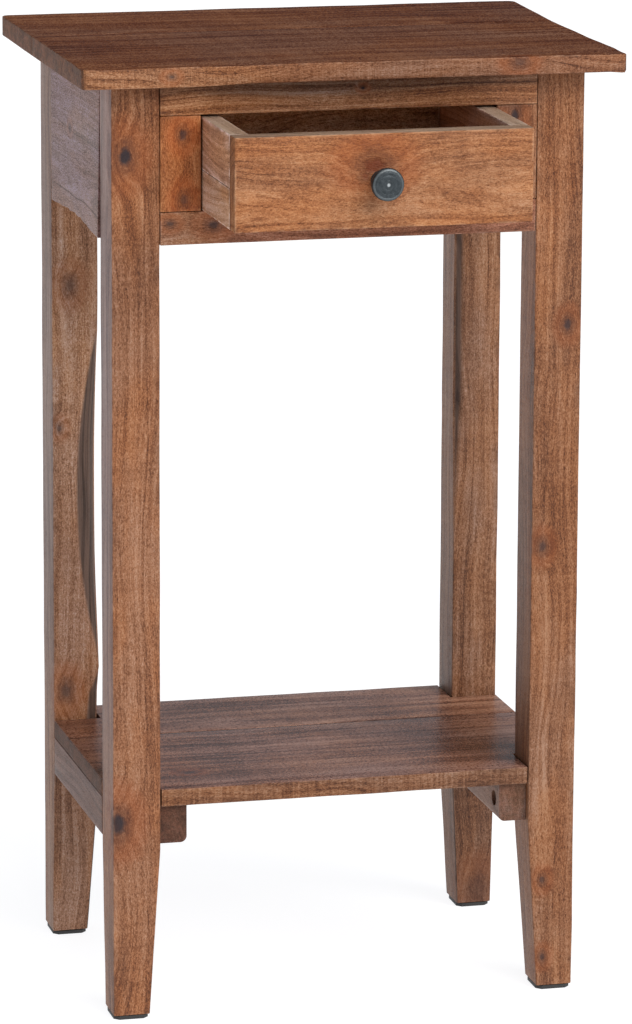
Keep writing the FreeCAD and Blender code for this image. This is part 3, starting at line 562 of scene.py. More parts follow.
def wood(name, low, high, axis, tones, seed, **own):
    """A wood finish for the board between two corners. Look says what can be set by name."""
    look, finish = Look(**own), Finish(name)
    stain = [times(colour, look.tint) for colour in TONES[tones]]
    dark, brown, mid, light = stain
    grain = Grain(finish, low, high, axis, seed, look.wide)
    knot = knot_marks(grain, look.knots)
    marks = wood_marks(grain, *growth_rings(grain, look, knot))
    tone = with_veins(grain, look, marks, tone_of(grain, look, marks, knot))
    colour = stained(grain, look, marks, stain, tone)
    if look.knots:
        colour = knots_on(finish, colour, knot, look.heart, brown, mid)
    scuff = finish.noise(grain.place, 110.0, 3.0, 0.65)
    end_grain = finish.smooth(finish.maths("ABSOLUTE", grain.facing[axis]), 0.5, 0.9)
    colour = paled_and_darkened_arrises(grain, look, colour, scuff, dark, light)
    colour = torn_ends(grain, look, colour, scuff, end_grain, brown)
    # Grey over the faces that look one way, a painted sheen on the legs' left faces.
    if look.faded:
        colour = faded_grey(grain, look, marks, colour)
    if look.bark:
        colour = under_bark(grain, look, marks, colour)

    open_grain = marks.pore * 0.14 + (marks.flecks - 0.5) * 0.20 + (marks.patch - 0.5) * 0.22
    roughness = look.gloss + open_grain * look.relief + end_grain * 0.15
    height = marks.flecks * 0.5 + marks.streak * 0.25 - marks.pore * 0.45 - marks.band * 0.2
    if look.knots:
        height = height - knot.core * 0.8
    finish.shader.inputs["Specular IOR Level"].default_value = look.shine
    return finish.surface(colour, roughness, height, bump_strength=0.8,
                          bump_distance=OPEN_GRAIN_DEPTH * look.relief)


# %% [markdown]
# ## Working a board
# A board starts as a block at the size that the frame gives. It is cut into steps along the grain
# so that it can be bent a little, its edges are eased with a bevel, and a slow noise takes a few
# tenths of a millimetre off it here and there. The noise only cuts inwards, so that a board never
# outgrows its place and the drawer still runs.

# %% Picking things up
TOUCH = 1e-4


def put_down_all():
    if bpy.context.mode != "OBJECT":
        bpy.ops.object.mode_set(mode="OBJECT")
    bpy.ops.object.select_all(action="DESELECT")


def take_up(piece):
    put_down_all()
    piece.select_set(True)
    bpy.context.view_layer.objects.active = piece


def edit(piece):
    take_up(piece)
    bpy.ops.object.mode_set(mode="EDIT")
    bpy.ops.mesh.select_all(action="SELECT")


def pick(piece, kind, test):
    """In edit mode, selects the verts, edges or faces whose middle passes the test."""
    bpy.ops.mesh.select_mode(type={"verts": "VERT", "edges": "EDGE", "faces": "FACE"}[kind])
    bpy.ops.mesh.select_all(action="DESELECT")
    mesh = bmesh.from_edit_mesh(piece.data)
    count = 0
    for item in getattr(mesh, kind):
        corners = [item] if kind == "verts" else item.verts
        middle = sum((corner.co for corner in corners), Vector()) / len(corners)
        if test(middle, item):
            item.select_set(True)
            count += 1
    bmesh.update_edit_mesh(piece.data)
    return count


def levels_of(piece, axis):
    """Every place on an axis at which the piece in edit mode has points, in order."""
    return sorted({round(v.co[axis], 5) for v in bmesh.from_edit_mesh(piece.data).verts})


# %% Sawing and shaping
def block(name, low, high):
    """A block between two corners, in edit mode."""
    put_down_all()
    bpy.ops.mesh.primitive_cube_add(size=1, location=(low + high) / 2)
    piece = bpy.context.object
    piece.name = piece.data.name = name
    piece.scale = high - low
    bpy.ops.object.transform_apply(location=True, rotation=True, scale=True)
    edit(piece)
    return piece


def step(piece, axis, cuts):
    """Cuts the piece across one axis at even steps."""
    def runs_along(middle, edge):
        run = edge.verts[1].co - edge.verts[0].co
        return abs(run[axis]) > 0.9 * run.length

    if cuts and pick(piece, "edges", runs_along):
        bpy.ops.mesh.subdivide(number_cuts=cuts)


def cut_at(axis, place):
    """A saw line all round the piece at one place on an axis."""
    bpy.ops.mesh.select_all(action="SELECT")
    at, normal = Vector(), Vector()
    at[axis], normal[axis] = place, 1
    bpy.ops.mesh.bisect(plane_co=at, plane_no=normal)


def cut_strips(axis, low, high, strips):
    """Saw lines that part the piece between two corners into even strips."""
    for count in range(1, strips):
        cut_at(axis, low[axis] + (high[axis] - low[axis]) * count / strips)


def nudge(piece, test, shift):
    if pick(piece, "verts", lambda middle, vert: test(middle)):
        bpy.ops.transform.translate(value=shift)


# %% Easing, weathering and fitting
SHARP_ANGLE, SMOOTH_ANGLE = math.radians(40), math.radians(28)


def modify(piece, kind, **settings):
    """Adds a modifier and applies it at once."""
    take_up(piece)
    modifier = piece.modifiers.new(kind.lower(), kind)
    for key, value in settings.items():
        setattr(modifier, key, value)
    bpy.ops.object.modifier_apply(modifier=modifier.name)


def ease(piece, width):
    modify(piece, "BEVEL", width=width * MM, segments=4, limit_method="ANGLE",
           angle_limit=SHARP_ANGLE, use_clamp_overlap=True)


def weather(piece, depth, patch):
    """Takes up to this depth off, in patches of about this size, both in millimetres."""
    patches = bpy.data.textures.new(piece.name + "_patches", "CLOUDS")
    patches.noise_scale = patch * MM
    patches.noise_depth = 1
    modify(piece, "DISPLACE", texture=patches, strength=depth * MM, mid_level=1.0,
           texture_coords="LOCAL")


def fit(piece, body, nodes, slot, material):
    """The last step: smooth shading up to the crisp edges, the finish, and its place on the table."""
    take_up(piece)
    bpy.ops.object.shade_smooth_by_angle(angle=SMOOTH_ANGLE)
    piece.data.materials.clear()
    piece.data.materials.append(material)
    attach(piece, body)
    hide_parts(*nodes)
    put_down_all()
    print(piece.name, len(piece.data.polygons), "faces")
    return piece


# %% A straight board
SIDE_STEP = 0.014


def board(name, low, high, grain, body, node, slot, material, easing, depth, cuts=14, patch=45):
    piece = block(name, low, high)
    step(piece, grain, cuts)
    for axis in {X, Y, Z} - {grain}:
        step(piece, axis, max(0, round((high[axis] - low[axis]) / SIDE_STEP) - 1))
    ease(piece, easing)
    weather(piece, depth, patch)
    return fit(piece, body, [node], slot, material)


# %% [markdown]
# ## Legs
# Each leg is square above the shelf and tapers on its two inner faces below it. The two back legs
# were cut from near the bark, so a strip of one corner is missing where the log was round: the
# wane. It is made by moving three rows of points at the corner, step by step up the leg.

# %% The taper
TAPER_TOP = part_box("shelf_cleat_left")[0].z - 3 * MM


def foot_box(node):
    """The corners of the leg's foot, which the taper makes smaller than the leg."""
    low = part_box(node)[0]
    ring = [v.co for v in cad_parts[node].data.vertices if v.co.z < low.z + TOUCH]
    return [Vector(f(v[k] for v in ring) for k in (X, Y, Z)) for f in (min, max)]


def tapered_leg(name, inner_x, inner_y):
    """A leg in edit mode. The two signs give the way from its outer corner to the table's middle."""
    low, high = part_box(name)
    foot_low, foot_high = foot_box(name)
    piece = block(name + "_worked", low, high)
    cut_at(Z, TAPER_TOP)
    for axis, inner in ((X, inner_x), (Y, inner_y)):
        leg_face, foot_face = (high, foot_high) if inner > 0 else (low, foot_low)
        shift = [0, 0, 0]
        shift[axis] = foot_face[axis] - leg_face[axis]
        nudge(piece, lambda m: m.z < low.z + TOUCH and abs(m[axis] - leg_face[axis]) < TOUCH, shift)
    return piece


# %% The wane
WANE_REACH, LEAST_WANE = 23, 1.6


def wane_left(z):
    """Width of the wane up the back left leg, in millimetres: a short hollow and a long one."""
    start, waist, end = 138, 228, 511
    short_width, long_width = 13, 20
    z = z / MM
    if z > waist:
        swell = math.sin(math.pi * min(1, (z - waist) / (end - waist))) if z < end else 0
        return long_width * swell ** 0.8
    swell = math.sin(math.pi * (waist - z) / (waist - start)) if z > start else 0
    return short_width * swell ** 0.7


def wane_right(z):
    """The back right leg's wane widens slowly up the leg, and ends at once."""
    start, widest, end = 306, 434, 604
    full_width, last_stretch = 7.6, 12
    z = z / MM
    growing = min(1, max(0, (z - start) / (widest - start)))
    return full_width * growing * min(1, max(0, (end - z) / last_stretch))


def cut_wane(piece, low, corner_x, inward, width_at):
    """Moves the front corner's points back: inward is the direction from the corner on X."""
    reach = WANE_REACH * MM
    cut_at(X, corner_x + inward * reach)
    cut_at(Y, low.y + reach)
    for level in levels_of(piece, Z):
        width = max(width_at(level) * MM, LEAST_WANE * MM)
        shifts = [((corner_x + inward * reach, low.y), (-inward * (reach - width), 0)),
                  ((corner_x, low.y + reach), (0, -(reach - 0.85 * width)))]
        if width > LEAST_WANE * MM:
            shifts.append(((corner_x, low.y), (inward * 0.34 * width, 0.36 * width)))
        for (x, y), (dx, dy) in shifts:
            here = Vector((x, y, level))
            nudge(piece, lambda middle: (middle - here).length < TOUCH, (dx, dy, 0))


# %% Legs
def leg(name, inner_x, inner_y, wane=None, **look):
    low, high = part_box(name)
    piece = tapered_leg(name, inner_x, inner_y)
    step(piece, Z, cuts=25)
    if wane:
        cut_wane(piece, low, high.x if inner_x > 0 else low.x, -inner_x, wane)
    ease(piece, width=1.3)
    weather(piece, depth=0.7, patch=60)
    material = wood(name + "_finish", low, high, Z, "warm", vein_axis=X, **look)
    return fit(piece, "root", [name], "leg_wood", material)


# Greys for the painted sheen on the legs' left faces.
SIDE_SHEEN_GREY = ((0.13, 0.092, 0.100), (0.38, 0.30, 0.31))
BACK_SIDE_SHEEN_GREY = ((0.10, 0.075, 0.075), (0.23, 0.18, 0.18))
front_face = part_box("leg_front_left")[0].y
back_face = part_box("leg_back_right")[0].y
# The front left leg's left face gets a painted grey sheen.
leg("leg_front_left", 1, 1, seed=1, pith=(30, 70), tint=(0.82, 0.75, 0.725),
    faded=(X, -1, 0.5, *SIDE_SHEEN_GREY), sap=(Z, 0.60, 60, (1.18, 1.16, 1.08)),
    knots=[((-0.1752, front_face, 0.6795), 7.5, 0.95), ((-0.1822, front_face, 0.158), 8.5, 0.95)],
    veins=[(7, 1.4, 0.36), (11, 3.0, 0.18), (-8, 3.0, 0.12)])
leg("leg_front_right", -1, 1, seed=5, pith=(-34, 66), tint=(0.71, 0.66, 0.65),
    sap=(Z, 0.40, 260, (1.20, 1.20, 1.14)),
    knots=[((0.1749, front_face, 0.536), 4.4, 0.75), ((0.157, front_face, 0.361), 4.4, 0.6),
           ((0.1603, front_face, 0.0907), 3.4, 0.6), ((0.1612, front_face, 0.0271), 3.2, 0.6)],
    veins=[(-8, 1.8, -0.20), (-2, 2.6, 0.18), (9, 1.4, 0.12)])
# The back left leg's left face gets a painted grey sheen too.
leg("leg_back_left", 1, -1, wane=wane_left, seed=9, pith=(20, 44), tint=(0.90, 0.98, 1.16),
    faded=(X, -1, 0.6, *BACK_SIDE_SHEEN_GREY), sap=(Z, 0.31, 110, (1.44, 1.54, 1.60)),
    bark=(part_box("leg_back_left")[1].x, back_face, -1, 1),
    knots=[((-0.1709, back_face, 0.541), 5.5, 0.35), ((-0.180, back_face, 0.425), 3.0, 0.6),
           ((-0.176, back_face, 0.208), 6.0, 0.5)])
leg("leg_back_right", -1, -1, wane=wane_right, seed=13, pith=(34, 52), tint=(0.54, 0.56, 0.65),
    sap=(Z, 0.12, 60, (1.42, 1.46, 1.46)), bark=(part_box("leg_back_right")[0].x, back_face, 1, 1),
    knots=[((0.1742, back_face, 0.014), 9, 0.2)])

# %% [markdown]
# ## Aprons, rails and stiles
# These boards run from leg to leg. In the frame their tenons reach into the legs. What shows is
# only the part between the shoulders, so each one is worked between the faces of the legs.

# %% Aprons, rails and stiles
LEFT, RIGHT = "left", "right"


def between_legs(node, axis):
    """The node's box without its tenons. The stiles, which stand on Z, have none."""
    low, high = (corner.copy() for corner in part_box(node))
    if axis == X:
        low.x, high.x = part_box("leg_front_left")[1].x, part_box("leg_front_right")[0].x
    elif axis == Y:
        low.y, high.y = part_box("leg_front_left")[1].y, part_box("leg_back_left")[0].y
    return low, high


def frame_board(node, axis, slot, seed, **look):
    low, high = between_legs(node, axis)
    material = wood(node + "_finish", low, high, axis, "warm", seed, **look)
    return board(node + "_worked", low, high, axis, "root", node, slot, material, easing=0.9, depth=0.35)


rail_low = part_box("upper_front_rail")[0]
# The upper rail's darker, cooler strip above its lowest 11 mm is a painted shadow of the tabletop's
# overhang.
frame_board("upper_front_rail", X, "rail_wood", 17, pith=(30, 14), ring=7.0, contrast=1.5,
            tint=(1.10, 1.08, 1.04), sap=(Z, rail_low.z + 11 * MM, 5, (0.74, 0.82, 1.0)),
            knots=[((0.0098, front_face, 0.726), 1.6, 0.95)])
# On the lower rail, the darker part right of x = -0.115 is a painted shadow of the drawer above it.
frame_board("lower_front_rail", X, "rail_wood", 21, pith=(34, 30), tint=(1.02, 1.04, 1.16),
            sap=(X, -0.115, 30, (0.82, 0.72, 0.78)),
            knots=[((-0.1062, front_face, 0.625), 4.5, 0.7), ((-0.1404, front_face, 0.6271), 3.0, 0.6)])
frame_board("stile_left", Z, "rail_wood", 25, pith=(24, 30), tint=(1.12, 0.84, 0.56), contrast=0.8,
            knots=[((-0.1303, front_face, 0.6947), 4.5, 0.7), ((-0.1295, front_face, 0.6451), 4.5, 0.5)])
frame_board("stile_right", Z, "rail_wood", 29, pith=(20, 36), tint=(0.80, 0.80, 0.86),
            knots=[((0.1301, front_face, 0.7013), 4.5, 0.9)])
frame_board("side_apron_right", Y, "apron_wood", 37, pith=(-44, 30), tint=(0.88, 0.84, 0.86))
frame_board("back_apron", X, "apron_wood", 41, pith=(30, 18), tint=(0.66, 0.62, 0.66))
# The left stretcher's bluish tint is a painted cool sheen on its left face.
frame_board("shelf_stretcher_left", Y, "stretcher_wood", 45, pith=(30, 20), tint=(0.52, 0.52, 0.72))
frame_board("shelf_stretcher_right", Y, "stretcher_wood", 49, pith=(-26, 22), tint=(0.8, 0.76, 0.8))

# %% [markdown]
# ## Left apron
# The left apron is the roughest board. Its lower edge was bark, so an uneven strip of that edge is
# missing towards the back, and at the front the board has bowed out and shrunk away from the leg,
# which leaves a dark gap that widens downwards.

# %% Left apron
APRON_STRIPS = 20
APRON_ROWS = (12, 24, 48, 84)
BOW = 1.6 * MM
BOWED_STRIPS = (1.0, 0.75, 0.5, 0.25)


def bow_out(piece, low, high):
    """Bends the front end outwards, most at its lower corner, and draws it back from the leg."""
    for z in levels_of(piece, Z):
        down = (high.z - z) / (high.z - low.z)
        for count, share in enumerate(BOWED_STRIPS):
            y = low.y + (high.y - low.y) * count / APRON_STRIPS
            shift = (-BOW * down * share, BOW * down if count == 0 else 0, 0)
            nudge(piece, lambda m: abs(m.z - z) < TOUCH and abs(m.y - y) < TOUCH, shift)


def cut_bark_edge(piece, low, high):
    """Takes an uneven strip off the lower outer edge, and a little of the face just above it."""
    def outside(m, y):
        return m.x < low.x + 2 * MM and abs(m.y - y) < 3 * MM

    first_row = low.z + APRON_ROWS[0] * MM
    for count in range(APRON_STRIPS + 1):
        y = low.y + (high.y - low.y) * count / APRON_STRIPS
        swell = max(0, math.sin(math.pi * min(1, (count - 4) / 15)))
        missing = swell * (1 + 0.25 * math.sin(2.3 * count))
        shift = (1.8 * MM * missing, 0, 2.4 * MM * missing)
        nudge(piece, lambda m: outside(m, y) and m.z < low.z + 1 * MM, shift)
        shift = (0.5 * MM * missing, 0, 0)
        nudge(piece, lambda m: outside(m, y) and abs(m.z - first_row) < 1 * MM, shift)


def bowed_apron(node, material):
    low, high = between_legs(node, Y)
    piece = block(node + "_worked", low, high)
    step(piece, Y, cuts=APRON_STRIPS - 1)
    for z in APRON_ROWS:
        cut_at(Z, low.z + z * MM)
    cut_at(X, low.x + 7 * MM)
    bow_out(piece, low, high)
    cut_bark_edge(piece, low, high)
    ease(piece, width=0.9)
    weather(piece, depth=0.6, patch=35)
    return fit(piece, "root", [node], "apron_wood", material)


apron_low, apron_high = between_legs("side_apron_left", Y)
# The left apron's strongly bluish tint is a painted cool sheen on its left face.
bowed_apron("side_apron_left", wood(
    "side_apron_left_finish", apron_low, apron_high, Y, "warm", 33, pith=(40, 24), fleck=1.8,
    tint=(0.80, 0.97, 1.75), knots=[((apron_low.x, 0.07, 0.679), 3.0, 0.5)],
    veins=[(-46, 1.2, 0.6), (6, 0.7, 0.45)]))

# %% [markdown]
# ## Tabletop
# The top is two boards glued edge to edge, with a seam that shows. Its front edge is a little
# thicker on the left, its right end is planed slightly hollow, and its outer corners are round.
# Its upper face takes darker tones than its edges, a painted shade, so each board has two finishes,
# and its faces are shared out between them by how far they lean.

# %% Two finishes on one board
EDGE_LOOK = {"tint": (0.95, 0.93, 0.90), "sap": (X, -0.11, 60, (0.76, 0.72, 0.76)), "shine": 0.25,
             "gloss": 0.5, "wide": 1.0, "saw": 0.45, "relief": 1.0, "fleck": 1.0, "ends": 0.8}


def fit_with_edges(piece, node, slot, tones, seed, look, edge_look, upright):
    """Fits a board whose faces have their own finish where their normal rises less than upright."""
    low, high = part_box(node)
    material = wood(node + "_finish", low, high, X, tones, seed, **look)
    edge_material = wood(node + "_edge_finish", low, high, X, "warm", seed, **look | edge_look)
    fit(piece, "root", [node], slot, material)
    piece.data.materials.append(edge_material)
    for face in piece.data.polygons:
        if face.normal.z < upright:
            face.material_index = 1
    return piece


def lines_at(node, *lines):
    """Veins at these places on Y, each as (y, width in mm, strength)."""
    low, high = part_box(node)
    return [((y - (low.y + high.y) / 2) / MM, width, strength) for y, width, strength in lines]


# %% The top's shape
TOP_STRIPS = 30
END_HOLLOW, FRONT_THINNING = 4.5 * MM, 1.3 * MM
SAME_LEVEL = 2e-5


def hollow_end(piece, right_end):
    """Planes the right end hollow, in one curve that runs over both boards."""
    front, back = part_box("top_board_front")[0].y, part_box("top_board_back")[1].y
    near_end = right_end - 12 * MM
    for level in levels_of(piece, Y):
        share = (level - front) / (back - front)
        hollow = END_HOLLOW * math.sin(math.pi * min(1, max(0, share)))
        nudge(piece, lambda m: abs(m.y - level) < SAME_LEVEL and m.x > near_end, (-hollow, 0, 0))


def wavy_front(piece, low, high):
    """Thins the front edge from below, except at its left end, and lets its upper arris dip."""
    for count in range(TOP_STRIPS + 1):
        x = low.x + (high.x - low.x) * count / TOP_STRIPS

        def near(m):
            return abs(m.x - x) < 3 * MM and m.y < low.y + 30 * MM

        thin = FRONT_THINNING * min(1, max(0, (x - low.x - 0.095) / 0.03))
        nudge(piece, lambda m: near(m) and m.z < low.z + TOUCH, (0, 0, thin))
        sag = 0.5 * MM * (1 - math.sin(math.pi * count / TOP_STRIPS)) + 0.3 * MM * math.sin(count * 0.9)
        nudge(piece, lambda m: near(m) and m.z > high.z - TOUCH, (0, 0, -max(0, sag)))


# %% Tabletop
def tabletop_board(node, seed, corner_y, corner_radius, **look):
    low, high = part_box(node)
    middle_z = (low.z + high.z) / 2
    piece = block(node + "_worked", low, high)
    if pick(piece, "edges", lambda m, e: abs(m.y - corner_y) < TOUCH and abs(m.z - middle_z) < TOUCH):
        bpy.ops.mesh.bevel(offset=corner_radius * MM, segments=5, affect="EDGES")
    cut_strips(X, low, high, TOP_STRIPS)
    cut_strips(Y, low, high, strips=12)
    hollow_end(piece, high.x)
    if corner_y == low.y:
        wavy_front(piece, low, high)
    ease(piece, width=1.1)
    weather(piece, depth=0.6, patch=50)
    # The upper faces take the darker top tones, a painted shade, and the edges the warm ones.
    return fit_with_edges(piece, node, "top_wood", "top", seed, look, EDGE_LOOK, upright=0.75)


TOP_LOOK = {"shine": 0.01, "wide": 3.0, "fleck": 1.25, "tint": (1.25, 1.10, 0.95)}
top_front, top_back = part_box("top_board_front")[0].y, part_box("top_board_back")[1].y
tabletop_board(
    "top_board_front", 53, top_front, corner_radius=5, pith=(60, 26), wear=0.4,
    knots=[((0.1267, top_front, 0.7455), 4.5, 0.35), ((-0.1441, top_front, 0.7425), 2.4, 0.6)],
    veins=lines_at("top_board_front", (0.049, 3.5, 0.34), (0.020, 2.5, 0.2), (-0.03, 3.0, 0.16)),
    **TOP_LOOK)
tabletop_board("top_board_back", 57, top_back, corner_radius=7, pith=(50, 34), **TOP_LOOK)

# %% [markdown]
# ## Shelf
# Each shelf board is notched round two legs. It starts as a flat sheet that is cut into a grid, so
# that the corners can be dropped out before it is raised to its thickness.

# %% A notched board
NOTCH_GAP = 0.4 * MM


def notched_board(node, legs_at_front):
    """A board in edit mode, with its two corners cut out round the front or the back legs."""
    low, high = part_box(node)
    leg_low, leg_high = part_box("leg_front_left" if legs_at_front else "leg_back_left")
    notch_x = (leg_high.x + NOTCH_GAP, -leg_high.x - NOTCH_GAP)
    notch_y = leg_high.y + NOTCH_GAP if legs_at_front else leg_low.y - NOTCH_GAP
    put_down_all()
    middle = (low + high) / 2
    bpy.ops.mesh.primitive_plane_add(size=1, location=(middle.x, middle.y, low.z))
    piece = bpy.context.object
    piece.name = piece.data.name = node + "_worked"
    piece.scale = (high.x - low.x, high.y - low.y, 1)
    bpy.ops.object.transform_apply(location=True, rotation=True, scale=True)
    edit(piece)
    for x in notch_x:
        cut_at(X, x)
    cut_at(Y, notch_y)

    def in_notch(m, face):
        beside = m.x < notch_x[0] or m.x > notch_x[1]
        return beside and (m.y < notch_y if legs_at_front else m.y > notch_y)

    pick(piece, "faces", in_notch)
    bpy.ops.mesh.delete(type="FACE")
    bpy.ops.mesh.select_all(action="SELECT")
    bpy.ops.mesh.extrude_region_move(TRANSFORM_OT_translate={"value": (0, 0, high.z - low.z)})
    bpy.ops.mesh.select_all(action="SELECT")
    bpy.ops.mesh.normals_make_consistent(inside=False)
    return piece


# %% Shelf
# The paler, bluer stretch over all but the left end of the shelf top is a painted sheen.
SHELF_LOOK = {"contrast": 1.2, "cloud": 2.4, "sap": (X, -0.125, 34, (1.10, 1.20, 1.30)),
              "gloss": 0.28, "shine": 0.38, "wide": 2.6, "fleck": 1.4, "relief": 0.35}
SHELF_EDGE_LOOK = EDGE_LOOK | {"tint": (0.63, 0.62, 0.65), "sap": None, "saw": 0.7, "contrast": 0.9}


def shelf_board(node, legs_at_front, seed, **look):
    low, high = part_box(node)
    piece = notched_board(node, legs_at_front)
    cut_strips(X, low, high, strips=26)
    cut_strips(Y, low, high, strips=9)
    ease(piece, width=0.9)
    weather(piece, depth=0.5, patch=40)
    look = look | SHELF_LOOK
    return fit_with_edges(piece, node, "shelf_wood", "shelf", seed, look, SHELF_EDGE_LOOK, upright=0.6)


front_seam, back_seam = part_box("shelf_board_front")[1].y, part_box("shelf_board_back")[0].y
shelf_board("shelf_board_front", True, 61, pith=(50, 20), tint=(1.14, 0.96, 0.83),
            knots=[((-0.1143, -0.036, 0.184), 4, 0.5)],
            veins=lines_at("shelf_board_front", (0.008, 4.0, 0.5), (0.045, 5.0, 0.4),
                           (-0.02, 4.0, 0.34), (front_seam, 4.0, 0.6)))
shelf_board("shelf_board_back", False, 65, pith=(44, 24), tint=(1.30, 1.11, 0.94),
            veins=lines_at("shelf_board_back", (0.155, 4.0, 0.45), (0.125, 3.0, 0.34),
                           (back_seam, 3.0, 0.6)))

# %% [markdown]
# ## Drawer
# The drawer's front covers the ends of its sides, and each side is two narrow boards glued edge to
# edge. They are paler and greyer than the front, because a drawer's inside is hardly stained.

# %% Drawer
def drawer_board(node, grain, slot, seed, easing=0.6, depth=0.2, **look):
    low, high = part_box(node)
    material = wood(node + "_finish", low, high, grain, "warm", seed, **look)
    return board(node + "_worked", low, high, grain, "drawer", node, slot, material, easing, depth)


TOP_GREY = ((0.12, 0.095, 0.070), (0.46, 0.38, 0.29))
drawer_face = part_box("drawer_front")[0].y
drawer_board("drawer_front", X, "drawer_front_wood", 69, easing=0.9, pith=(16, 40), wear=0.5,
             tint=(1.02, 0.91, 0.77), ends=0.0, faded=(Z, 1, 0.6, *TOP_GREY), fleck=0.8,
             heart=(0.15, 0.030, 0.010),
             knots=[((-0.0079, drawer_face, 0.684), 9, 0.75), ((-0.0150, drawer_face, 0.6759), 3.6, 0.6)],
             veins=[(-30, 2.0, 0.30), (-36, 1.2, 0.24), (24, 1.4, 0.16)])
# On the drawer sides the strong pale arrises are a painted highlight as well as rubbing.
SIDE_LOOK = {"fleck": 0.7, "wear": 0.9, "faded": (Z, 1, 0.7, *TOP_GREY)}
for side, seed in ((LEFT, 73), (RIGHT, 83)):
    drawer_board(f"drawer_side_{side}_lower_board", Y, "drawer_side_wood", seed, pith=(20, 30),
                 tint=(1.80, 2.20, 2.8), **SIDE_LOOK)
    drawer_board(f"drawer_side_{side}_upper_board", Y, "drawer_side_wood", seed + 4, pith=(30, 22),
                 tint=(1.84, 2.26, 3.1), **SIDE_LOOK)
drawer_board("drawer_back", X, "drawer_side_wood", 93, tint=(1.8, 2.6, 3.4))
drawer_board("drawer_bottom", X, "panel_wood", 97, easing=0.3, depth=0.1, tint=(1.7, 2.2, 2.8))

# %% [markdown]
# ## Iron and steel
# The knob is blackened iron, the screws are plated, and the bolts are dark. Metal shows its finish
# in its reflections, so a slow cloud changes both its colour and its roughness. The middle of the
# knob's face is rubbed bright, and a faint bright ring near its rim is a painted highlight.

# %% Iron and steel
METALLIC = 0.75
# Colour of the rubbed pip and of the painted highlight ring.
RUBBED_AND_HIGHLIGHT_IRON = (0.52, 0.56, 0.58)


def iron(name, dark, light, gloss, centre=None):
    """Blackened or plated metal. Centre is the axis of a turned face whose pip is rubbed bright and whose
    rim gets a painted highlight.
    """
    finish = Finish(name)
    place = finish.node("TexCoord", out="Object")
    cloud = finish.noise(place, 260.0, 4.0, 0.65)
    fine = finish.noise(place, 1500.0, 3.0, 0.6)
    tone = cloud * 0.7 + fine * 0.3
    colour = finish.node("ValToRGB", {"stops": [(0.30, dark), (0.70, light)]}, tone)
    if centre:
        x, y, z = finish.split(place)
        away = finish.maths("SQRT", (x - centre.x) ** 2.0 + (z - centre.z) ** 2.0)
        pip = 1 - finish.smooth(away, 0.0006, 0.0017)
        # A painted highlight: a faint bright ring near the rim of the knob's face.
        ring = finish.smooth(away, 0.0098, 0.0108) * (1 - finish.smooth(away, 0.0112, 0.0120)) * 0.12
        colour = finish.blend(finish.most(pip * 0.8, ring), colour, RUBBED_AND_HIGHLIGHT_IRON)
    finish.shader.inputs["Metallic"].default_value = METALLIC
    return finish.surface(colour, gloss + (cloud - 0.5) * 0.3, tone, bump_strength=0.5,
                          bump_distance=0.0002)


knob_low, knob_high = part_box("knob")
knob_finish = iron("blackened_iron", dark=(0.020, 0.026, 0.030), light=(0.074, 0.088, 0.098),
                   gloss=0.42, centre=(knob_low + knob_high) / 2)
steel_finish = iron("zinc_steel", dark=(0.28, 0.27, 0.25), light=(0.46, 0.45, 0.43), gloss=0.38)
dark_steel_finish = iron("dark_steel", dark=(0.03, 0.03, 0.032), light=(0.09, 0.09, 0.095), gloss=0.42)
print("metals", [f.name for f in (knob_finish, steel_finish, dark_steel_finish)])

# %% [markdown]
# ## Knob
# The knob is a turned iron disc on a short neck. A disc is drawn out step by step from the
# drawer, as a turner would read its profile, and its face gets shallow rings and a small pip.
# A spun outline would do as well, but this way each step is one cut of the turner's tool.

# %% Knob
NECK_RADIUS = 8.0
PROFILE = [(0.02, 8.0), (0.07, 8.0), (0.10, 7.2), (0.14, 5.8), (0.24, 5.2), (0.45, 5.3), (0.58, 6.4),
           (0.68, 9.6), (0.73, 11.7), (0.77, 12.35), (0.84, 12.5), (0.90, 12.4), (0.945, 11.9),
           (0.965, 11.2), (0.972, 10.4), (0.966, 10.0), (0.972, 9.6), (0.986, 7.6), (0.980, 7.2),
           (0.986, 6.8), (0.995, 4.2), (0.989, 3.8), (0.995, 3.4), (0.992, 1.5), (1.0, 1.1), (1.0, 0.4)]


def knob():
    """Each step of the profile is a share of the knob's depth, and a radius in millimetres."""
    low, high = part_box("knob")
    centre, depth = (low + high) / 2, high.y - low.y
    put_down_all()
    bpy.ops.mesh.primitive_circle_add(vertices=64, radius=NECK_RADIUS * MM, fill_type="NGON",
                                      location=(centre.x, high.y, centre.z), rotation=(math.pi / 2, 0, 0))
    piece = bpy.context.object
    piece.name = piece.data.name = "knob_worked"
    bpy.ops.object.transform_apply(location=True, rotation=True, scale=True)
    edit(piece)
    at, size = 0.0, NECK_RADIUS
    for share, radius in PROFILE:
        bpy.ops.mesh.extrude_region_move(TRANSFORM_OT_translate={"value": (0, -(share - at) * depth, 0)})
        scale = radius / size
        bpy.ops.transform.resize(value=(scale, 1, scale), center_override=(centre.x, 0, centre.z))
        at, size = share, radius
    bpy.ops.mesh.select_all(action="SELECT")
    bpy.ops.mesh.normals_make_consistent(inside=False)
    return fit(piece, "drawer", ["knob"], "knob_iron", knob_finish)


knob()

# %% [markdown]
# ## Glides
# The glides under the feet are moulded squares with bevelled corners, all four out of one mould.
# One is modelled at the first foot and the others are copies of it, each with its own mesh. Their
# black plastic is a little uneven, because it drags on floors.

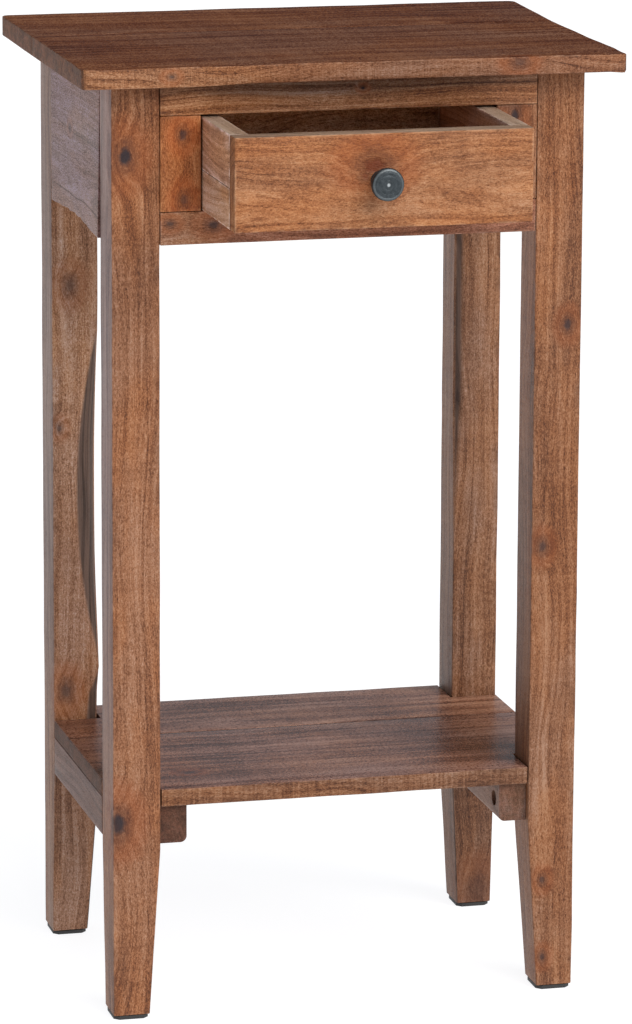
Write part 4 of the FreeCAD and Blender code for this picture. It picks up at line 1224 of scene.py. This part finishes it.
# %% Plastic
def plastic():
    finish = Finish("black_glide_plastic")
    place = finish.node("TexCoord", out="Object")
    grain = finish.noise(place, 900.0, 3.0, 0.6)
    stops = [(0.3, (0.010, 0.010, 0.011)), (0.7, (0.028, 0.027, 0.026))]
    colour = finish.node("ValToRGB", {"stops": stops}, grain)
    return finish.surface(colour, 0.45 + grain * 0.25, grain, bump_strength=0.3,
                          bump_distance=0.0002)


# %% Glides
def glide(node):
    low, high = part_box(node)
    piece = block(node + "_worked", low, high)
    if pick(piece, "edges", lambda m, e: abs(m.z - (low.z + high.z) / 2) < TOUCH):
        bpy.ops.mesh.bevel(offset=4 * MM, segments=1, affect="EDGES")
    ease(piece, width=0.4)
    return piece


def copy_of(piece, name, shift):
    """A copy with its own mesh, moved by this much."""
    take_up(piece)
    bpy.ops.object.duplicate(linked=False)
    twin = bpy.context.object
    twin.name = twin.data.name = name
    bpy.ops.transform.translate(value=shift)
    bpy.ops.object.transform_apply(location=True, rotation=True, scale=True)
    return twin


feet = [node for node in sorted(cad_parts) if node.startswith("foot_pad")]
first_glide = glide(feet[0])
glides = [first_glide] + [copy_of(first_glide, node + "_worked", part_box(node)[0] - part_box(feet[0])[0])
                          for node in feet[1:]]
glide_finish = plastic()
for node, piece in zip(feet, glides):
    fit(piece, "root", [node], "glide_plastic", glide_finish)

# %% [markdown]
# ## What stays as the frame made it
# Runners, kickers, guides, cleats, screws and nails already have their true shape. They only need
# their finish, and each batten gets its own wood.

# %% Finishes for the other nodes
BATTENS = {"drawer_runner": "raw", "drawer_kicker": "raw", "drawer_guide": "raw",
           "drawer_stop": "raw", "drawer_dowels": "raw", "shelf_cleat": "warm"}
CLEAT_TINT = {"shelf_cleat_left": (0.44, 0.42, 0.50), "shelf_cleat_right": (0.66, 0.74, 0.96)}
METALS = {steel_finish: ("top_screws", "shelf_screws", "foot_nails", "guide_nails", "stop_nails",
                         "drawer_side_nails", "drawer_bottom_nails"),
          dark_steel_finish: ("cleat_bolts", "leg_inserts", "knob_screw")}
finishes = {node: material for material, nodes in METALS.items() for node in nodes}
for count, node in enumerate(sorted(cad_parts)):
    kind = next((batten for batten in BATTENS if node.startswith(batten)), None)
    if kind:
        low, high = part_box(node)
        finishes[node] = wood(node + "_finish", low, high, Y, BATTENS[kind], 101 + 4 * count,
                              tint=CLEAT_TINT.get(node, (1, 1, 1)))
for node, material in finishes.items():
    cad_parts[node].data.materials.clear()
    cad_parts[node].data.materials.append(material)
print("finished in place", sorted(finishes))
